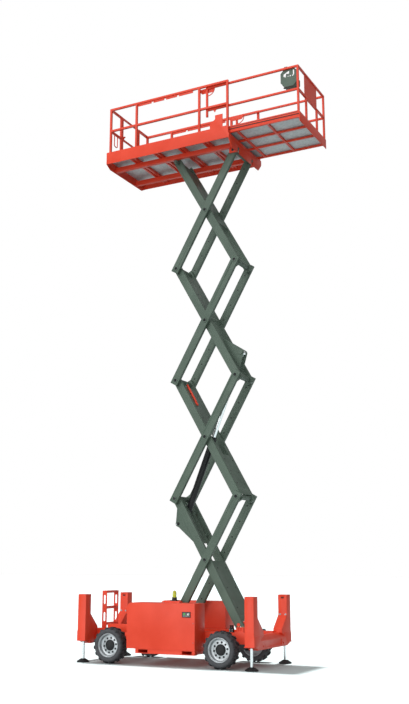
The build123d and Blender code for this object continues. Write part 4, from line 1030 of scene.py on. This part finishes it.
class LIFT_OT_platform(bpy.types.Operator):
    """Tread on the floors, strips and lips on the deck's sides, and the gate latch"""

    bl_idname = "lift.platform"
    bl_label = "Platform and deck"

    # Bare edge at the ends and at the sides of each floor's tread, in millimetres
    platform_gaps, deck_gaps, floor_z = (50, 120), (30, 60), 10050
    # Infill of the lower groove, a black strip in the upper one, and a lip with a black strip on the channel
    # The two black strips are painted shade, dark lines that stand for the shadow in the grooves
    # Each is its inner and outer distance across, its bottom and top, and its finish
    strips = (
        (701, 712.5, 10079, 10097, 1),
        (701, 711, 10117, 10135, 0),
        (690, 713, 10157, 10197, 1),
        (708, 713.5, 10160, 10174, 0),
    )
    strip_inset, strip_front = 8, 2330
    # Gate latch: bottom, width, height and lap over the gate, then the knob's length and radius
    latch_z, latch_width, latch_height, latch_lap = 10700, 70, 50, 4
    latch_knob = ((0, 8), (40, 8), (42, 16), (54, 18), (60, 14), (62, 0))

    def execute(self, context):
        low, high = node_box("platform_floor")
        add_floor_tread("platform_tread", low, high, self.platform_gaps, self.floor_z * MM, "platform")
        low, high = node_box("deck_floor")
        add_floor_tread("deck_tread", low, high, self.deck_gaps, high.z, "deck")

        back, front = node_box("deck_frame")[0].x + self.strip_inset * MM, self.strip_front * MM
        # Black strips drawn along the grooves as painted shade
        strips = bmesh.new()
        for inner, outer, bottom, top, finish in self.strips:
            for side in (-1, 1):
                right, left = sorted((side * inner * MM, side * outer * MM))
                low, high = (back, right, bottom * MM), (front, left, top * MM)
                add_block(strips, low, high, edge=1.5 * MM, segments=1, finish=finish)
        finishes = ("Black pad plastic", "Orange-red enamel")
        finish_piece("deck_lips_and_groove_shade", strips, finishes, "deck")

        low, high = node_box("gate")
        near = Vector((low.x, low.y, self.latch_z * MM)) - FORWARD * self.latch_lap * MM
        far = near + Vector((0, self.latch_width, self.latch_height)) * MM
        far.x = high.x + self.latch_lap * MM
        latch = bmesh.new()
        add_block(latch, near, far, edge=3 * MM)
        add_lathe(latch, self.latch_knob, (near + far) / 2, FORWARD, steps=20, finish=1)
        finish_piece("gate_latch", latch, ("Orange-red enamel",) * 2, "gate")
        return {"FINISHED"}


class LIFT_OT_control_box(bpy.types.Operator):
    """Stop button, joystick, switches and cable gland of the platform controls"""

    bl_idname = "lift.control_box"
    bl_label = "Control box"

    # Turned shapes: height and radius, in millimetres
    stop = ((0, 24), (4, 24), (5, 12), (14, 12), (16, 20), (24, 21), (30, 16), (32, 0))
    boot = ((0, 34), (6, 32), (12, 26), (18, 24), (24, 16), (32, 12), (40, 10))
    stick = ((96, 9), (100, 15), (140, 17), (150, 12), (152, 0))
    switch = ((0, 8), (4, 8), (5, 4), (18, 5), (20, 0))
    lamp = ((0, 12), (3, 12), (8, 10), (10, 0))
    gland = ((0, 20), (8, 20), (10, 15), (30, 13), (34, 8), (34, 0))
    # Sides and face of the lid, and what stands on it, with x from the middle between the axles
    back, front, right, left, face = 2486, 2764, -660, -470, 10939
    lid_drop, lid_rise = 8, 1
    stop_place, stick_place, lamp_place = (2720, -520), (2540, -565), (2665, -520)
    switch_place, switch_pitch, switch_finishes = (2610, -600), 28, (2, 3, 3, 2)
    gland_place, bolt_inset = (2500, -565, 10800), 8

    def execute(self, context):
        lid = bmesh.new()
        low = at(self.back, self.right, self.face - self.lid_drop)
        high = at(self.front, self.left, self.face + self.lid_rise)
        add_block(lid, low, high, edge=3 * MM)
        add_lathe(lid, self.stop, at(*self.stop_place, self.face), UP, steps=32, finish=1)
        add_lathe(lid, (*self.boot, *self.stick), at(*self.stick_place, self.face), UP, steps=32)
        for i, finish in enumerate(self.switch_finishes):
            x, y = self.switch_place
            foot = at(x + self.switch_pitch * i, y, self.face)
            add_lathe(lid, self.switch, foot, UP, steps=16, finish=finish)
        add_lathe(lid, self.lamp, at(*self.lamp_place, self.face), UP, steps=20, finish=4)
        add_lathe(lid, self.gland, at(*self.gland_place), -FORWARD, steps=24)
        for x in (self.back + self.bolt_inset, self.front - self.bolt_inset):
            for y in (self.right + self.bolt_inset, self.left - self.bolt_inset):
                add_bolt(lid, at(x, y, self.face), UP, radius=5 * MM, finish=3)
        finish_piece(
            "control_box_face",
            lid,
            ("Dark housing plastic", "Red button plastic", "Pale plastic", "Zinc plate", "Green lamp"),
            node_body["control_box"],
        )
        return {"FINISHED"}


class LIFT_OT_stage(bpy.types.Operator):
    """Pale floor, soft light and the camera"""

    bl_idname = "lift.stage"
    bl_label = "Stage"

    floor_colour, floor_half = "#A6B0B0", 120
    # Light that the white backdrop gives from below and from above, and half the band between them
    glow_low, glow_high, glow_band = 0.32, 0.46, 0.2
    # Two keys in front, low and high, and a fill without shadows for what lies behind other pieces
    # A soft light overhead, and one for the floor alone that whitens it and draws the shadow on it
    # Each is its name, strength, spread in degrees, and the direction towards it
    suns = (
        ("studio_key_low", 0.85, 40, (-0.28, -0.95, 0.04)),
        ("studio_key_high", 1.15, 50, (-0.22, -0.75, 0.62)),
        ("studio_fill", 0.55, 40, (0.05, -1, 0)),
        ("studio_top", 0.6, 90, (0, 0, 1)),
        ("studio_floor_top", 7.0, 1.5, (0.02, 0.02, 1)),
    )
    # Camera: place in metres, yaw and pitch in radians, and lens in millimetres
    camera_place, camera_yaw, camera_pitch = (8.3635, -16.234, 1.764), 2.0491, 0.2213
    camera_lens = 48.53

    def execute(self, context):
        scene = context.scene
        floor = self.add_floor(scene)
        self.add_world(scene)
        self.add_suns(scene, floor)
        self.add_camera(scene)
        scene.view_settings.view_transform = "Standard"
        return {"FINISHED"}

    def add_floor(self, scene):
        bm = bmesh.new()
        bmesh.ops.create_grid(bm, x_segments=1, y_segments=1, size=self.floor_half)
        mesh = bpy.data.meshes.new("studio_floor")
        bm.to_mesh(mesh)
        bm.free()
        shader = start_material("Studio floor", Roughness=0.9)[1]
        shader.inputs["Base Color"].default_value = linear(self.floor_colour)
        mesh.materials.append(bpy.data.materials["Studio floor"])
        floor = bpy.data.objects.new("studio_floor", mesh)
        floor.visible_diffuse = False
        scene.collection.objects.link(floor)
        return floor

    def add_world(self, scene):
        world = bpy.data.worlds.new("Studio")
        world.use_nodes = True
        tree = world.node_tree
        way = add_node(tree, "ShaderNodeTexCoord").outputs["Generated"]
        height = add_node(tree, "ShaderNodeSeparateXYZ", {"Vector": way}).outputs["Z"]
        band = {"Value": height, "From Min": -self.glow_band, "From Max": self.glow_band}
        band.update({"To Min": self.glow_low, "To Max": self.glow_high})
        glow = add_node(tree, "ShaderNodeMapRange", band).outputs["Result"]
        seen = add_node(tree, "ShaderNodeLightPath").outputs["Is Camera Ray"]
        strength = add_node(tree, "ShaderNodeMath", {0: glow, 1: seen}, operation="MAXIMUM")
        background = tree.nodes["Background"]
        background.inputs["Color"].default_value = (1, 1, 1, 1)
        tree.links.new(strength.outputs["Value"], background.inputs["Strength"])
        scene.world = world

    def add_suns(self, scene, floor):
        floor_only = bpy.data.collections.new("studio_floor_light")
        floor_only.objects.link(floor)
        for name, energy, angle, towards in self.suns:
            sun = bpy.data.lights.new(name, "SUN")
            sun.energy = energy
            sun.angle = radians(angle)
            sun.use_shadow = name != "studio_fill"
            lamp = bpy.data.objects.new(name, sun)
            lamp.rotation_euler = Vector(towards).to_track_quat("Z", "Y").to_euler()
            if name == "studio_floor_top":
                lamp.light_linking.receiver_collection = floor_only
            scene.collection.objects.link(lamp)

    def add_camera(self, scene):
        yaw, pitch = self.camera_yaw, self.camera_pitch
        camera = bpy.data.cameras.new("studio_camera")
        camera.lens = self.camera_lens
        camera.sensor_width = 36
        camera.clip_end = 400
        view = bpy.data.objects.new("studio_camera", camera)
        view.location = self.camera_place
        ahead = Vector((cos(pitch) * cos(yaw), cos(pitch) * sin(yaw), sin(pitch)))
        view.rotation_euler = ahead.to_track_quat("-Z", "Y").to_euler()
        scene.collection.objects.link(view)
        scene.camera = view


OPERATORS = (
    LIFT_OT_stage, LIFT_OT_finishes, LIFT_OT_steelwork, LIFT_OT_wheels, LIFT_OT_jacks, LIFT_OT_outriggers,
    LIFT_OT_pods, LIFT_OT_scissor, LIFT_OT_fittings, LIFT_OT_platform, LIFT_OT_control_box,
)


class LIFT_PT_dressing(bpy.types.Panel):
    """Lists the groups of the scissor lift"""

    bl_idname = "LIFT_PT_dressing"
    bl_label = "Scissor lift"
    bl_space_type = "VIEW_3D"
    bl_region_type = "UI"
    bl_category = "Scissor lift"

    def draw(self, context):
        for operator in OPERATORS:
            self.layout.operator(operator.bl_idname)
        for group in (context.scene.lift_colours, context.scene.lift_sizes):
            for name in group.__annotations__:
                self.layout.prop(group, name)


CLASSES = (LiftColours, LiftSizes, *OPERATORS, LIFT_PT_dressing)


def register():
    for cls in CLASSES:
        bpy.utils.register_class(cls)
    bpy.types.Scene.lift_colours = bpy.props.PointerProperty(type=LiftColours)
    bpy.types.Scene.lift_sizes = bpy.props.PointerProperty(type=LiftSizes)


def unregister():
    del bpy.types.Scene.lift_sizes
    del bpy.types.Scene.lift_colours
    for cls in reversed(CLASSES):
        bpy.utils.unregister_class(cls)


def main():
    register()
    for operator in OPERATORS:
        group, action = operator.bl_idname.split(".")
        getattr(getattr(bpy.ops, group), action)()


if __name__ == "__main__":
    main()
